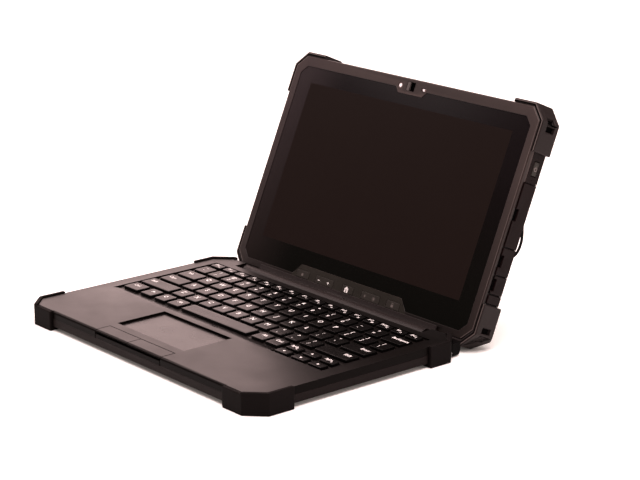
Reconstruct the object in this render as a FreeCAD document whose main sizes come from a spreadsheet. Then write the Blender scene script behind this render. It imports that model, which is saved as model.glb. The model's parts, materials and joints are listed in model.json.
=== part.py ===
import FreeCAD, Part
import math
import os
import Sketcher

# Rugged detachable laptop: a keyboard base with corner bumpers, a hinged dock with a
# kickstand behind it, and a tablet that stands in the dock.
# Millimetres. +X is the user's right, +Y points away from the user, +Z is up.
# The origin is on the desk, under the middle of the opened laptop.

doc = FreeCAD.newDocument("RuggedLaptop")
sheet = doc.addObject("Spreadsheet::Sheet", "Dims")
Vector = FreeCAD.Vector


# ---------------------------------------------------------------- named sizes

class Length:
    """A size that carries its number and the spreadsheet formula it comes from."""

    def __init__(self, number, formula):
        self.number = number
        self.formula = formula

    def __add__(self, other):
        other = as_length(other)
        return Length(self.number + other.number, f"({self.formula} + {other.formula})")

    def __sub__(self, other):
        other = as_length(other)
        return Length(self.number - other.number, f"({self.formula} - {other.formula})")

    def __mul__(self, other):
        other = as_length(other)
        return Length(self.number * other.number, f"({self.formula} * {other.formula})")

    def __truediv__(self, other):
        other = as_length(other)
        return Length(self.number / other.number, f"({self.formula} / {other.formula})")

    def __neg__(self):
        return Length(-self.number, f"(-1 * {self.formula})")

    def __radd__(self, other):
        return as_length(other) + self

    def __rsub__(self, other):
        return as_length(other) - self

    def __rmul__(self, other):
        return as_length(other) * self


def as_length(value):
    """Turn a plain number into a Length."""
    if isinstance(value, Length):
        return value
    return Length(float(value), f"({float(value):.6f})")


rows_used = 0


def size(alias, number):
    """Put one driving size in the spreadsheet and return it as a Length."""
    global rows_used
    rows_used += 1
    sheet.set(f"A{rows_used}", alias)
    sheet.set(f"B{rows_used}", str(number))
    sheet.setAlias(f"B{rows_used}", alias)
    return Length(float(number), f"Dims.{alias}")


# where the three groups of parts stand
base_front = size("base_front", -161.055)
hinge_axis_back = size("hinge_axis_back", 207.6)
hinge_axis_height = size("hinge_axis_height", 11.0)
lean = size("lean", 23.533)

# keyboard base
base_half = size("base_half", 157.0)
base_depth = size("base_depth", 213.4)
bumper_cut = size("bumper_cut", 14.7)
bumper_high = size("bumper_high", 18.4)
bumper_wall = size("bumper_wall", 3.7)
bumper_end_x = size("bumper_end_x", 118.0)
bumper_end_y = size("bumper_end_y", 39.1)
rear_leg_end_x = size("rear_leg_end_x", 138.0)
rear_leg_end_y = size("rear_leg_end_y", 177.2)
shell_half = size("shell_half", 154.1)
shell_front = size("shell_front", 2.8)
shell_rear = size("shell_rear", 210.6)
shell_floor = size("shell_floor", 3.6)
shell_skin = size("shell_skin", 1.8)
deck_join = size("deck_join", 10.6)
deck_top = size("deck_top", 17.1)
notch_half = size("notch_half", 122.5)
notch_front = size("notch_front", 198.5)
well_half = size("well_half", 140.9)
well_front = size("well_front", 86.6)
well_rear = size("well_rear", 191.2)
plate_top = size("plate_top", 15.7)
plate_thick = size("plate_thick", 1.4)
cap_bottom = size("cap_bottom", 14.0)
cap_top = size("cap_top", 17.9)
cap_slope = size("cap_slope", 0.3)
cap_gap = size("cap_gap", 0.35)
stem_radius = size("stem_radius", 1.6)
stem_bottom = size("stem_bottom", 11.0)
row_front = size("row_front", 88.0)
row_pitch = size("row_pitch", 18.64)
cap_depth = size("cap_depth", 14.0)
pad_left = size("pad_left", -56.2)
pad_right = size("pad_right", 35.2)
pad_front = size("pad_front", 26.2)
pad_rear = size("pad_rear", 73.4)
pad_drop = size("pad_drop", 1.8)
buttons_left = size("buttons_left", -54.6)
buttons_right = size("buttons_right", 35.4)

# hinge and dock
barrel_radius = size("barrel_radius", 5.9)
barrel_half = size("barrel_half", 118.0)
pin_radius = size("pin_radius", 2.5)
running_gap = size("running_gap", 0.05)
hinge_below = size("hinge_below", 5.68)
hinge_ahead = size("hinge_ahead", 13.2)
spine_half = size("spine_half", 115.5)
dock_plate_half = size("dock_plate_half", 100.0)
dock_plate_back = size("dock_plate_back", 26.2)
kick_height = size("kick_height", 95.0)
kick_back = size("kick_back", 29.0)
kick_half = size("kick_half", 75.0)
kick_open = size("kick_open", 41.0)
kick_thick = size("kick_thick", 2.6)
foot_radius = size("foot_radius", 1.6)

# tablet
face_half = size("face_half", 153.67)
face_high = size("face_high", 197.08)
face_cut = size("face_cut", 10.4)
bezel_thick = size("bezel_thick", 5.2)
frame_back = size("frame_back", 12.0)
body_back = size("body_back", 21.5)
glass_half = size("glass_half", 145.2)
glass_low = size("glass_low", 6.4)
glass_high = size("glass_high", 187.8)
glass_cut = size("glass_cut", 7.0)
glass_sunk = size("glass_sunk", 0.6)
glass_thick = size("glass_thick", 1.0)
screen_half = size("screen_half", 131.5)
screen_low = size("screen_low", 26.0)
screen_high = size("screen_high", 177.0)
guard_half = size("guard_half", 156.8)
guard_top = size("guard_top", 200.6)
guard_bottom = size("guard_bottom", -5.4)
guard_cut = size("guard_cut", 13.0)
guard_front = size("guard_front", -0.4)
guard_back = size("guard_back", 23.3)
guard_chamfer = size("guard_chamfer", 2.4)
lip_chamfer = size("lip_chamfer", 0.6)
button_low = size("button_low", 4.2)
button_high = size("button_high", 11.5)
door_front = size("door_front", -4.0)
door_axis_x = size("door_axis_x", 153.4)
door_axis_w = size("door_axis_w", -18.4)
door_face = size("door_face", 154.8)
tether_radius = size("tether_radius", 1.2)
doc.recompute()

OVER = 2.0                 # how far a cut runs past the face it opens
HALF_DIAGONAL = math.sqrt(2.0) - 1.0
LEFT, RIGHT = -1, 1


# ---------------------------------------------------------------- building blocks

def new_body(label, group):
    """Start an empty body that stands in the base, tablet or kickstand frame."""
    body = doc.addObject("PartDesign::Body", label)
    body.Label = label
    body.AllowCompound = True
    place(body, group)
    return body


def place(item, group):
    """Put an object in the frame of the group it belongs to."""
    angle = math.radians(lean.number)
    if group == "base":
        item.Placement = FreeCAD.Placement(Vector(0, base_front.number, 0), FreeCAD.Rotation())
        item.setExpression("Placement.Base.y", base_front.formula)
        return
    up_y, up_z = math.sin(angle), math.cos(angle)
    start_y = (base_front + hinge_axis_back).number
    start_y += hinge_below.number * up_y + hinge_ahead.number * up_z
    start_z = hinge_axis_height.number + hinge_below.number * up_z - hinge_ahead.number * up_y
    turn = 90.0 - lean.number
    if group == "kickstand":
        start_y += kick_height.number * up_y + kick_back.number * up_z
        start_z += kick_height.number * up_z - kick_back.number * up_y
        turn += kick_open.number
    item.Placement = FreeCAD.Placement(Vector(0, start_y, start_z),
                                       FreeCAD.Rotation(Vector(1, 0, 0), turn))
    up_y, up_z = "sin(Dims.lean * 1deg)", "cos(Dims.lean * 1deg)"
    y_text = f"Dims.base_front + Dims.hinge_axis_back + Dims.hinge_below * {up_y}"
    y_text += f" + Dims.hinge_ahead * {up_z}"
    z_text = f"Dims.hinge_axis_height + Dims.hinge_below * {up_z} - Dims.hinge_ahead * {up_y}"
    turn_text = "90 - Dims.lean"
    if group == "kickstand":
        y_text += f" + Dims.kick_height * {up_y} + Dims.kick_back * {up_z}"
        z_text += f" + Dims.kick_height * {up_z} - Dims.kick_back * {up_y}"
        turn_text += " + Dims.kick_open"
    item.setExpression("Placement.Base.y", y_text)
    item.setExpression("Placement.Base.z", z_text)
    item.setExpression("Placement.Rotation.Angle", turn_text)


def new_sketch(body, plane, start):
    """Attach an empty sketch to one of the body's planes, moved along its normal."""
    sketch = body.newObject("Sketcher::SketchObject", f"{body.Name}Sketch")
    role = f"{plane}_Plane"
    support = [item for item in body.Origin.OriginFeatures if item.Role == role][0]
    sketch.AttachmentSupport = (support, [""])
    sketch.MapMode = "FlatFace"
    offset = as_length(start)
    if plane == "XZ":
        offset = -offset
    sketch.setExpression("AttachmentOffset.Base.z", offset.formula)
    return sketch


def hold(sketch, kind, geometry, point, value):
    """Hold a point's distance from the sketch origin with a formula."""
    value = as_length(value)
    constraint = Sketcher.Constraint(kind, -1, 1, geometry, point, value.number)
    index = sketch.addConstraint(constraint)
    sketch.setExpression(f"Constraints[{index}]", value.formula)


def draw_loop(sketch, points):
    """Add one closed outline whose every corner is held by formulas."""
    first = sketch.GeometryCount
    flat = [(as_length(x), as_length(y)) for x, y in points]
    count = len(flat)
    for index in range(count):
        here = flat[index]
        there = flat[(index + 1) % count]
        start = Vector(here[0].number, here[1].number, 0)
        finish = Vector(there[0].number, there[1].number, 0)
        sketch.addGeometry(Part.LineSegment(start, finish), False)
    for index in range(count):
        following = first + (index + 1) % count
        sketch.addConstraint(Sketcher.Constraint("Coincident", first + index, 2, following, 1))
        hold(sketch, "DistanceX", first + index, 1, flat[index][0])
        hold(sketch, "DistanceY", first + index, 1, flat[index][1])


def draw_circle(sketch, centre, radius):
    """Add one circle held by its centre and radius."""
    centre = (as_length(centre[0]), as_length(centre[1]))
    radius = as_length(radius)
    middle = Vector(centre[0].number, centre[1].number, 0)
    index = sketch.addGeometry(Part.Circle(middle, Vector(0, 0, 1), radius.number), False)
    held = sketch.addConstraint(Sketcher.Constraint("Radius", index, radius.number))
    sketch.setExpression(f"Constraints[{held}]", radius.formula)
    hold(sketch, "DistanceX", index, 3, centre[0])
    hold(sketch, "DistanceY", index, 3, centre[1])


def finish_feature(body, sketch, plane, start, end, cut, taper):
    """Turn a sketch into a pad or a pocket that runs from start to end."""
    length = as_length(end) - start
    kind = "PartDesign::Pocket" if cut else "PartDesign::Pad"
    feature = body.newObject(kind, f"{body.Name}Step")
    feature.Profile = sketch
    feature.setExpression("Length", length.formula)
    feature.Reversed = cut != (plane == "XZ")
    if taper:
        feature.TaperAngle = taper
    sketch.Visibility = False
    doc.recompute()
    return feature


def add_loops(body, plane, loops, start, end, taper=0):
    """Add material: one or more outlines run from start to end."""
    sketch = new_sketch(body, plane, start)
    for points in loops:
        draw_loop(sketch, points)
    return finish_feature(body, sketch, plane, start, end, False, taper)


def cut_loops(body, plane, loops, start, end):
    """Take material away: one or more outlines run from start to end."""
    sketch = new_sketch(body, plane, start)
    for points in loops:
        draw_loop(sketch, points)
    return finish_feature(body, sketch, plane, start, end, True, 0)


def add_circles(body, plane, centres, radius, start, end):
    """Add round posts from start to end."""
    sketch = new_sketch(body, plane, start)
    for centre in centres:
        draw_circle(sketch, centre, radius)
    return finish_feature(body, sketch, plane, start, end, False, 0)


def cut_circles(body, plane, centres, radius, start, end):
    """Cut round holes from start to end."""
    sketch = new_sketch(body, plane, start)
    for centre in centres:
        draw_circle(sketch, centre, radius)
    return finish_feature(body, sketch, plane, start, end, True, 0)


def rectangle(left, right, low, high):
    """Corners of a rectangle."""
    return [(left, low), (right, low), (right, high), (left, high)]


def octagon(half, low, high, cut):
    """Corners of a rectangle with all four corners cut at 45 degrees."""
    right = as_length(half)
    return [(cut - right, low), (right - cut, low), (right, low + cut), (right, high - cut),
            (right - cut, high), (cut - right, high), (-right, high - cut), (-right, low + cut)]


def both_sides(points):
    """The same outline on the right and mirrored on the left."""
    mirrored = [(-as_length(x), y) for x, y in points]
    return [points, mirrored]


# ---------------------------------------------------------------- base shells

def corner_walk(side_end, leg_end, leg_gap, wall):
    """Front right corner of the shell, from its front face to its side face."""
    inner_x = base_half - wall
    cut_x = base_half - bumper_cut - wall * HALF_DIAGONAL
    points = []
    if leg_gap > 0:
        points += [(leg_end - leg_gap, shell_front), (leg_end - leg_gap, RECESS_DEEP),
                   (leg_end, RECESS_DEEP), (leg_end, wall)]
    else:
        points += [(leg_end, shell_front), (leg_end, wall)]
    points += [(cut_x, wall), (inner_x, bumper_cut + wall * HALF_DIAGONAL)]
    points += [(inner_x, side_end), (base_half - RECESS_DEEP, side_end)]
    points += [(base_half - RECESS_DEEP, side_end + RECESS_WIDE), (shell_half, side_end + RECESS_WIDE)]
    return points


RECESS_DEEP = 4.2          # shadow gap beside each bumper's end, from the bumper's face
RECESS_WIDE = 0.8


def shell_outline():
    """Plan of the base shell: front and rear corners recessed for the bumpers."""
    front = corner_walk(bumper_end_y, bumper_end_x, RECESS_WIDE, bumper_wall)
    rear_end = base_depth - rear_leg_end_y
    rear = corner_walk(rear_end, rear_leg_end_x, 0, bumper_wall)
    rear = [(x, base_depth - y) for x, y in reversed(rear)]
    right = front + rear
    notch = [(notch_half, shell_rear), (notch_half, notch_front)]
    right = right + notch
    left = [(-as_length(x), y) for x, y in reversed(right)]
    return right + left


FLOOR_SCREWS = [(147.2, 62.0), (147.2, 120.0), (147.2, 166.0), (96.0, 9.0), (32.0, 9.0)]
SCREW_HEAD = 2.6
SCREW_SHANK = 1.2
LUG_OUTER = 134.2


def mirrored_centres(centres):
    """Every centre and its mirror image."""
    return [(side * x, y) for side in (LEFT, RIGHT) for x, y in centres]


def lug_pocket():
    """Plan of the room for one hinge lug."""
    return rectangle(notch_half - OVER, LUG_OUTER, notch_front, shell_rear + OVER)


def make_bottom_shell():
    shell = new_body("base_bottom_shell", "base")
    add_loops(shell, "XY", [shell_outline()], shell_floor, deck_join)
    inside = rectangle(-well_half + 1, well_half - 1, 15.0, 193.0)
    cut_loops(shell, "XY", [inside], shell_floor + shell_skin, deck_join + OVER)
    cut_loops(shell, "XY", both_sides(lug_pocket()), shell_floor - OVER, deck_join + OVER)
    end_slots = [rectangle(buttons_left, buttons_left + 0.7, shell_front - OVER, shell_front + 1.2),
                 rectangle(buttons_right - 0.7, buttons_right, shell_front - OVER, shell_front + 1.2)]
    cut_loops(shell, "XY", end_slots, END_SLOT_LOW, deck_join + OVER)
    holes = mirrored_centres(FLOOR_SCREWS)
    cut_circles(shell, "XY", holes, SCREW_HEAD, shell_floor - OVER, shell_floor + 1.6)
    cut_circles(shell, "XY", holes, SCREW_SHANK, shell_floor - OVER, deck_join + OVER)
    posts = [(x, 55.0) for x in (-120.0, -40.0, 40.0, 120.0)]
    add_circles(shell, "XY", posts, 3.0, shell_floor + shell_skin, deck_join)
    return shell


ARROW_WELL_LEFT = 77.5
ARROW_WELL_FRONT = 78.6
RAMP_FRONT = 79.5
ROUND_DEEP = 2.2           # the deck's rounded front edge, front to back and top to bottom
ROUND_HIGH = 1.8
BUTTON_REAR = 17.7
BUTTON_SPLIT = -10.6
BUTTON_GAP_WIDE = 0.45
SLOT_LOW = 13.7
SLOT_HIGH = 15.5
END_SLOT_LOW = 9.9         # bottom of the short upright slots at both ends of the buttons


def well_outline(inset):
    """Plan of the keyboard well, which reaches forward under the arrow keys."""
    return [(-well_half + inset, well_front + inset), (ARROW_WELL_LEFT + inset, well_front + inset),
            (ARROW_WELL_LEFT + inset, ARROW_WELL_FRONT + inset),
            (well_half - inset, ARROW_WELL_FRONT + inset),
            (well_half - inset, well_rear - inset), (-well_half + inset, well_rear - inset)]


DRAIN_CENTRES = (-66.8, 1.9, 71.8)


def make_deck():
    deck = new_body("base_deck", "base")
    add_loops(deck, "XY", [shell_outline()], deck_join, deck_top)
    cut_loops(deck, "XY", [well_outline(0)], deck_join - OVER, deck_top + OVER)
    ramp = [(RAMP_FRONT, deck_top), (well_front, plate_top), (well_front + OVER, plate_top),
            (well_front + OVER, deck_top + OVER), (RAMP_FRONT, deck_top + OVER)]
    cut_loops(deck, "YZ", [ramp], -well_half, ARROW_WELL_LEFT)
    under = rectangle(-well_half, well_half, 20.0, 76.0)
    cut_loops(deck, "XY", [under], deck_join - OVER, deck_top - DECK_SKIN)
    window = rectangle(pad_left, pad_right, pad_front, pad_rear)
    cut_loops(deck, "XY", [window], deck_join - OVER, deck_top + OVER)
    buttons = rectangle(buttons_left, buttons_right, shell_front - OVER, BUTTON_REAR)
    cut_loops(deck, "XY", [buttons], SLOT_LOW, deck_top + OVER)
    end_slots = [rectangle(buttons_left, buttons_left + 0.7, shell_front - OVER, shell_front + 1.2),
                 rectangle(buttons_right - 0.7, buttons_right, shell_front - OVER, shell_front + 1.2)]
    cut_loops(deck, "XY", end_slots, deck_join - OVER, SLOT_LOW + OVER)
    above = [(shell_front + ROUND_DEEP, deck_top + OVER), (shell_front - OVER, deck_top + OVER),
             (shell_front - OVER, deck_top - ROUND_HIGH)]
    cut_loops(deck, "YZ", [front_round() + above], -bumper_end_x - 0.7, bumper_end_x + 0.7)
    posts = [(x, 10.0) for x in BUTTON_POSTS]
    cut_circles(deck, "XY", posts, 2.2, deck_join - OVER, deck_top)
    lug_space = rectangle(notch_half - OVER, LUG_OUTER, notch_front, shell_rear + OVER)
    cut_loops(deck, "XY", both_sides(lug_space), deck_join - OVER, deck_top - 1.5)
    blind = mirrored_centres(FLOOR_SCREWS)
    cut_circles(deck, "XY", blind, SCREW_SHANK, deck_join - OVER, SCREW_TOP)
    drains = []
    for middle in DRAIN_CENTRES:
        drains += [(middle + step * 3.0, 83.0 + shift) for step in (-1, 0, 1) for shift in (-1.4, 1.4)]
    cut_circles(deck, "XY", drains, 0.6, deck_top - 5.0, deck_top)
    return deck


BUTTON_POSTS = (-24.0, 13.0)
SCREW_TOP = 13.2
DECK_SKIN = 2.1            # thickness of the deck around the touchpad


def front_round():
    """Section of the deck's rounded front edge, from the front face to the flat top."""
    return [(shell_front, deck_top - ROUND_HIGH), (shell_front + 0.55, deck_top - 0.7),
            (shell_front + ROUND_DEEP, deck_top)]


# ---------------------------------------------------------------- base bumpers

def bumper_plan(side, end_x, end_y, wall, inner):
    """Plan of one corner bumper, given for the front right and mirrored by side."""
    inner_cut = inner * HALF_DIAGONAL
    points = [(end_x, wall), (end_x, 0.0), (base_half - bumper_cut, 0.0), (base_half, bumper_cut),
              (base_half, end_y), (base_half - inner, end_y),
              (base_half - inner, bumper_cut + inner_cut),
              (base_half - bumper_cut - inner_cut, inner), (end_x, inner)]
    points = points[1:]
    return [(side * as_length(x), as_length(y)) for x, y in points]


def rear_side(points):
    """Mirror a plan from the front of the base to the rear."""
    return [(x, base_depth - y) for x, y in points]


FOOT_REACH = 13.0


def make_base_bumper(label, side, rear):
    bumper = new_body(label, "base")
    end_x = rear_leg_end_x if rear else bumper_end_x
    end_y = base_depth - rear_leg_end_y if rear else bumper_end_y
    wall = bumper_plan(side, end_x, end_y, bumper_wall, bumper_wall)
    foot = bumper_plan(side, end_x, end_y, FOOT_REACH, as_length(FOOT_REACH))
    if rear:
        foot = bumper_plan(side, end_x + 4.0, end_y, FOOT_REACH, as_length(FOOT_REACH))
        wall = rear_side(wall)
        foot = rear_side(foot)
    add_loops(bumper, "XY", [wall], 0.0, bumper_high)
    add_loops(bumper, "XY", [foot], 0.0, shell_floor)
    if not rear:
        low_leg = rectangle(side * 100.0, side * (base_half - bumper_cut - 2.2), -OVER, bumper_wall + 0.1)
        cut_loops(bumper, "XY", [low_leg], deck_top, bumper_high + OVER)
    return bumper


# ---------------------------------------------------------------- keys

def letter_run(first_left, count, pitch=19.14, width=14.6):
    """Left and right edges of a run of equal key caps."""
    return [(first_left + pitch * step, first_left + pitch * step + width) for step in range(count)]


def row_y(number):
    """Front edge of a key row, counted from the space bar's row."""
    return row_front + row_pitch * number


F_ROW_DEPTH = 7.2
KEY_ROWS = {
    "function_keys": (5, F_ROW_DEPTH, letter_run(-136.4, 16, 17.2, 13.6)),
    "number_keys": (4, 14.0, [(-135.4, -120.1)] + letter_run(-116.3, 12) + [(113.2, 135.8)]),
    "tab_row_keys": (3, 14.0, [(-134.8, -110.9)] + letter_run(-106.4, 12, 18.95, 14.5) + [(121.6, 136.1)]),
    "home_row_keys": (2, 14.0, [(-135.3, -107.3)] + letter_run(-102.8, 11) + [(108.0, 136.1)]),
    "shift_row_keys": (1, 14.0, [(-136.9, -97.4)] + letter_run(-92.3, 10) + [(99.1, 136.6)]),
    "bottom_row_keys": (0, 14.0, [(-136.3, -117.4), (-111.9, -97.2), (-91.5, -77.9),
                                  (-73.2, -58.3), (41.6, 56.1), (60.1, 74.5)]),
    "space_bar": (0, 14.0, [(-52.9, 34.6)]),
}
ARROW_COLUMNS = [(80.5, 95.1), (100.8, 116.0), (121.6, 136.7)]
ARROW_FRONTS = (80.7, 92.2)
ARROW_DEPTH = 8.0


def key_places():
    """Every key as its row's label, left, right, front and depth."""
    places = []
    for label, (number, depth, edges) in KEY_ROWS.items():
        places += [(label, left, right, row_y(number), depth) for left, right in edges]
    for front in ARROW_FRONTS:
        places += [("arrow_keys", left, right, as_length(front), ARROW_DEPTH)
                   for left, right in ARROW_COLUMNS]
    return places


def make_keys(label):
    keys = new_body(label, "base")
    caps = []
    stems = []
    for name, left, right, front, depth in key_places():
        if name != label:
            continue
        caps.append(rectangle(left - cap_slope, right + cap_slope, front - cap_slope,
                              front + depth + cap_slope))
        stems.append(((left + right) / 2.0, front + depth / 2.0))
    slope = math.degrees(math.atan2(cap_slope.number, (cap_top - cap_bottom).number))
    add_loops(keys, "XY", caps, cap_bottom, cap_top, -slope)
    add_circles(keys, "XY", stems, stem_radius, stem_bottom, cap_bottom)
    return keys


def key_centres():
    """Where the key stems go down through the plate."""
    return [((left + right) / 2.0, front + depth / 2.0)
            for name, left, right, front, depth in key_places()]


def make_keyboard_plate():
    plate = new_body("keyboard_plate", "base")
    add_loops(plate, "XY", [well_outline(0)], plate_top - plate_thick, plate_top)
    room = cap_slope + cap_gap
    for row in list(KEY_ROWS) + ["arrow_keys"]:
        openings = [rectangle(left - room, right + room, front - room, front + depth + room)
                    for name, left, right, front, depth in key_places() if name == row]
        cut_loops(plate, "XY", openings, plate_top - plate_thick - OVER, plate_top + OVER)
    return plate


def make_dome_sheet():
    domes = new_body("dome_sheet", "base")
    add_loops(domes, "XY", [rectangle(-139.0, 139.0, 80.0, 191.0)], 7.8, 8.4)
    add_circles(domes, "XY", key_centres(), 2.6, 8.4, 9.0)
    return domes


def make_base_board():
    board = new_body("base_board", "base")
    add_loops(board, "XY", [rectangle(-110.0, 110.0, 18.0, 48.0)], 6.6, 7.8)
    chips = [rectangle(-70.0, -58.0, 26.0, 38.0), rectangle(20.0, 28.0, 30.0, 38.0),
             rectangle(60.0, 80.0, 24.0, 32.0)]
    add_loops(board, "XY", chips, 7.8, 9.0)
    return board


def make_touchpad():
    touchpad = new_body("touchpad", "base")
    skin_low = deck_top - DECK_SKIN
    add_loops(touchpad, "XY", [rectangle(pad_left - 2, pad_right + 2, pad_front - 2, pad_rear + 2)],
              skin_low - 1.4, skin_low)
    add_loops(touchpad, "XY", [rectangle(pad_left + 0.2, pad_right - 0.2, pad_front + 0.2,
                                         pad_rear - 0.2)], skin_low, deck_top - pad_drop)
    return touchpad


def make_touchpad_button(label, left, right, post):
    button = new_body(label, "base")
    rear = BUTTON_REAR - BUTTON_GAP_WIDE
    edge = front_round()
    profile = [(shell_front + 0.2, SLOT_HIGH), (rear, SLOT_HIGH), (rear, deck_top), edge[2], edge[1]]
    add_loops(button, "YZ", [profile], left, right)
    add_circles(button, "XY", [(post, 10.0)], 2.0, deck_join + 0.8, SLOT_HIGH)
    return button


def make_base_screws():
    screws = new_body("base_screws", "base")
    holes = mirrored_centres(FLOOR_SCREWS)
    add_circles(screws, "XY", holes, SCREW_HEAD, shell_floor + 0.3, shell_floor + 1.6)
    add_circles(screws, "XY", holes, SCREW_SHANK, shell_floor + 1.6, SCREW_TOP)
    return screws


# ---------------------------------------------------------------- hinge hardware

def make_hinge_blocks():
    blocks = new_body("hinge_blocks", "base")
    lug = rectangle(notch_half, LUG_OUTER, notch_front, shell_rear + 0.4)
    add_loops(blocks, "XY", both_sides(lug), shell_floor, deck_top - 1.5)
    rear_face = base_depth + 3.5
    tail = [(notch_half + 1.5, shell_rear + 0.4), (rear_leg_end_x - 0.3, shell_rear + 0.4),
            (rear_leg_end_x - 0.3, base_depth + 0.3), (base_half - bumper_cut + 0.2, base_depth + 0.3),
            (149.0, 207.4), (149.0, rear_face), (notch_half + 1.5, rear_face)]
    add_loops(blocks, "XY", both_sides(tail), 1.2, 12.2)
    lean_cut = [(rear_face - 1.6, 0.0), (rear_face - 1.6, 1.2), (rear_face, 5.0),
                (rear_face + OVER, 5.0), (rear_face + OVER, 0.0)]
    cut_loops(blocks, "YZ", [lean_cut], -base_half, base_half)
    axis = [(hinge_axis_back, hinge_axis_height)]
    cut_circles(blocks, "YZ", axis, pin_radius, -(LUG_OUTER - 2.0), -notch_half + OVER)
    cut_circles(blocks, "YZ", axis, pin_radius, notch_half - OVER, LUG_OUTER - 2.0)
    return blocks


def make_hinge_pins():
    pins = new_body("hinge_pins", "base")
    axis = [(hinge_axis_back, hinge_axis_height)]
    add_circles(pins, "YZ", axis, pin_radius, 110.0, LUG_OUTER - 2.0)
    add_circles(pins, "YZ", axis, pin_radius, -(LUG_OUTER - 2.0), -110.0)
    add_circles(pins, "YZ", axis, 4.4, barrel_half + 0.4, notch_half)
    add_circles(pins, "YZ", axis, 4.4, -notch_half, -barrel_half - 0.4)
    return pins


# ---------------------------------------------------------------- dock

SPINE_FLOOR = -0.4         # top of the dock's floor, just under the tablet
LIP_HIGH = 4.3
STUD_U = 60.0
STUD_W = -7.5


def make_dock_spine():
    spine = new_body("dock_spine", "tablet")
    axis = [(-hinge_below, hinge_ahead)]
    add_circles(spine, "YZ", axis, barrel_radius, -barrel_half, barrel_half)
    web = rectangle(-8.0, -1.0, 2.0, hinge_ahead)
    add_loops(spine, "YZ", [web], -spine_half, spine_half)
    wall_in = -(body_back + 0.5)
    wall_out = -(dock_plate_back - 2.4)
    tray = [(LIP_HIGH, 2.0), (LIP_HIGH, 0.3), (SPINE_FLOOR, 0.3), (SPINE_FLOOR, -13.6),
            (6.4, wall_in), (19.0, wall_in), (19.0, wall_out), (2.4, wall_out), (-3.0, -12.4), (-3.0, 2.0)]
    add_loops(spine, "YZ", [tray], -spine_half, spine_half)
    cut_circles(spine, "YZ", axis, pin_radius + running_gap, -barrel_half - OVER, -109.6)
    cut_circles(spine, "YZ", axis, pin_radius + running_gap, 109.6, barrel_half + OVER)
    latch = rectangle(-2.2, 0.6, 2.0, 3.0)
    add_loops(spine, "YZ", [latch], -22.0, 0.0)
    screws = [(side * 80.0, 15.0) for side in (LEFT, RIGHT)]
    cut_circles(spine, "XY", screws, SCREW_SHANK, wall_out - OVER, wall_in + 0.2)
    return spine


def make_dock_back_plate():
    plate = new_body("dock_back_plate", "tablet")
    inner = -(dock_plate_back - 2.4)
    outline = octagon(dock_plate_half, 6.0, 118.0, 12.0)
    add_loops(plate, "XY", [outline], -dock_plate_back, inner)
    lug_low, lug_high = kick_height - 4.0, kick_height + 4.0
    ears = rectangle(kick_half + 0.6, kick_half + 7.0, lug_low, lug_high)
    add_loops(plate, "XY", both_sides(ears), -(kick_back + 3.2), -dock_plate_back)
    axis = [(kick_height, -kick_back)]
    cut_circles(plate, "YZ", axis, 1.2, kick_half + 0.6, kick_half + 7.0)
    cut_circles(plate, "YZ", axis, 1.2, -kick_half - 7.0, -kick_half - 0.6)
    screws = [(side * 80.0, 15.0) for side in (LEFT, RIGHT)]
    cut_circles(plate, "XY", screws, SCREW_SHANK, -dock_plate_back - OVER, inner + OVER)
    cut_circles(plate, "XY", screws, SCREW_HEAD, -dock_plate_back - OVER, -dock_plate_back + 1.2)
    return plate


def make_dock_screws():
    screws = new_body("dock_screws", "tablet")
    spots = [(side * 80.0, 15.0) for side in (LEFT, RIGHT)]
    add_circles(screws, "XY", spots, SCREW_HEAD, -dock_plate_back + 0.2, -dock_plate_back + 1.2)
    add_circles(screws, "XY", spots, SCREW_SHANK, -dock_plate_back + 1.2, -(body_back + 0.6))
    return screws


def make_dock_connector():
    connector = new_body("dock_connector", "tablet")
    add_loops(connector, "XZ", [rectangle(-20.0, 20.0, -11.0, -6.0)], SPINE_FLOOR, 1.4)
    return connector


def make_dock_studs():
    studs = new_body("dock_studs", "tablet")
    spots = [(side * STUD_U, STUD_W) for side in (LEFT, RIGHT)]
    add_circles(studs, "XZ", spots, 2.2, SPINE_FLOOR, 4.5)
    return studs


def make_kickstand():
    stand = new_body("kickstand", "kickstand")
    add_circles(stand, "YZ", [(0.0, 0.0)], kick_thick, -kick_half, kick_half)
    sheet_end = foot_distance() - foot_radius - 1.0
    half = kick_thick / 2.0
    panel = [(kick_half - 8.0, -sheet_end), (kick_half, -sheet_end + 8.0), (kick_half, 0.0),
             (-kick_half, 0.0), (-kick_half, -sheet_end + 8.0), (-kick_half + 8.0, -sheet_end)]
    add_loops(stand, "XY", [panel], -half, half)
    cut_circles(stand, "YZ", [(0.0, 0.0)], 1.2 + running_gap, kick_half - 12.0, kick_half + OVER)
    cut_circles(stand, "YZ", [(0.0, 0.0)], 1.2 + running_gap, -kick_half - OVER, -kick_half + 12.0)
    return stand


def foot_distance():
    """From the kickstand's axis to the centre of its rubber foot, which rests on the desk."""
    angle = math.radians(lean.number)
    axis_z = hinge_axis_height.number
    axis_z += (hinge_below.number + kick_height.number) * math.cos(angle)
    axis_z -= (hinge_ahead.number + kick_back.number) * math.sin(angle)
    swing = math.radians(kick_open.number - lean.number)
    height = "Dims.hinge_axis_height + (Dims.hinge_below + Dims.kick_height) * cos(Dims.lean * 1deg)"
    height += " - (Dims.hinge_ahead + Dims.kick_back) * sin(Dims.lean * 1deg) - Dims.foot_radius"
    formula = f"(({height}) / cos((Dims.kick_open - Dims.lean) * 1deg))"
    return Length((axis_z - foot_radius.number) / math.cos(swing), formula)


def make_kickstand_foot():
    foot = new_body("kickstand_foot", "kickstand")
    reach = foot_distance()
    add_circles(foot, "YZ", [(-reach, 0.0)], foot_radius, -kick_half + 10.0, kick_half - 10.0)
    web = rectangle(-reach, -reach + foot_radius + 1.0, -kick_thick / 2.0, kick_thick / 2.0)
    add_loops(foot, "YZ", [web], -kick_half + 10.0, kick_half - 10.0)
    return foot


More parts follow.
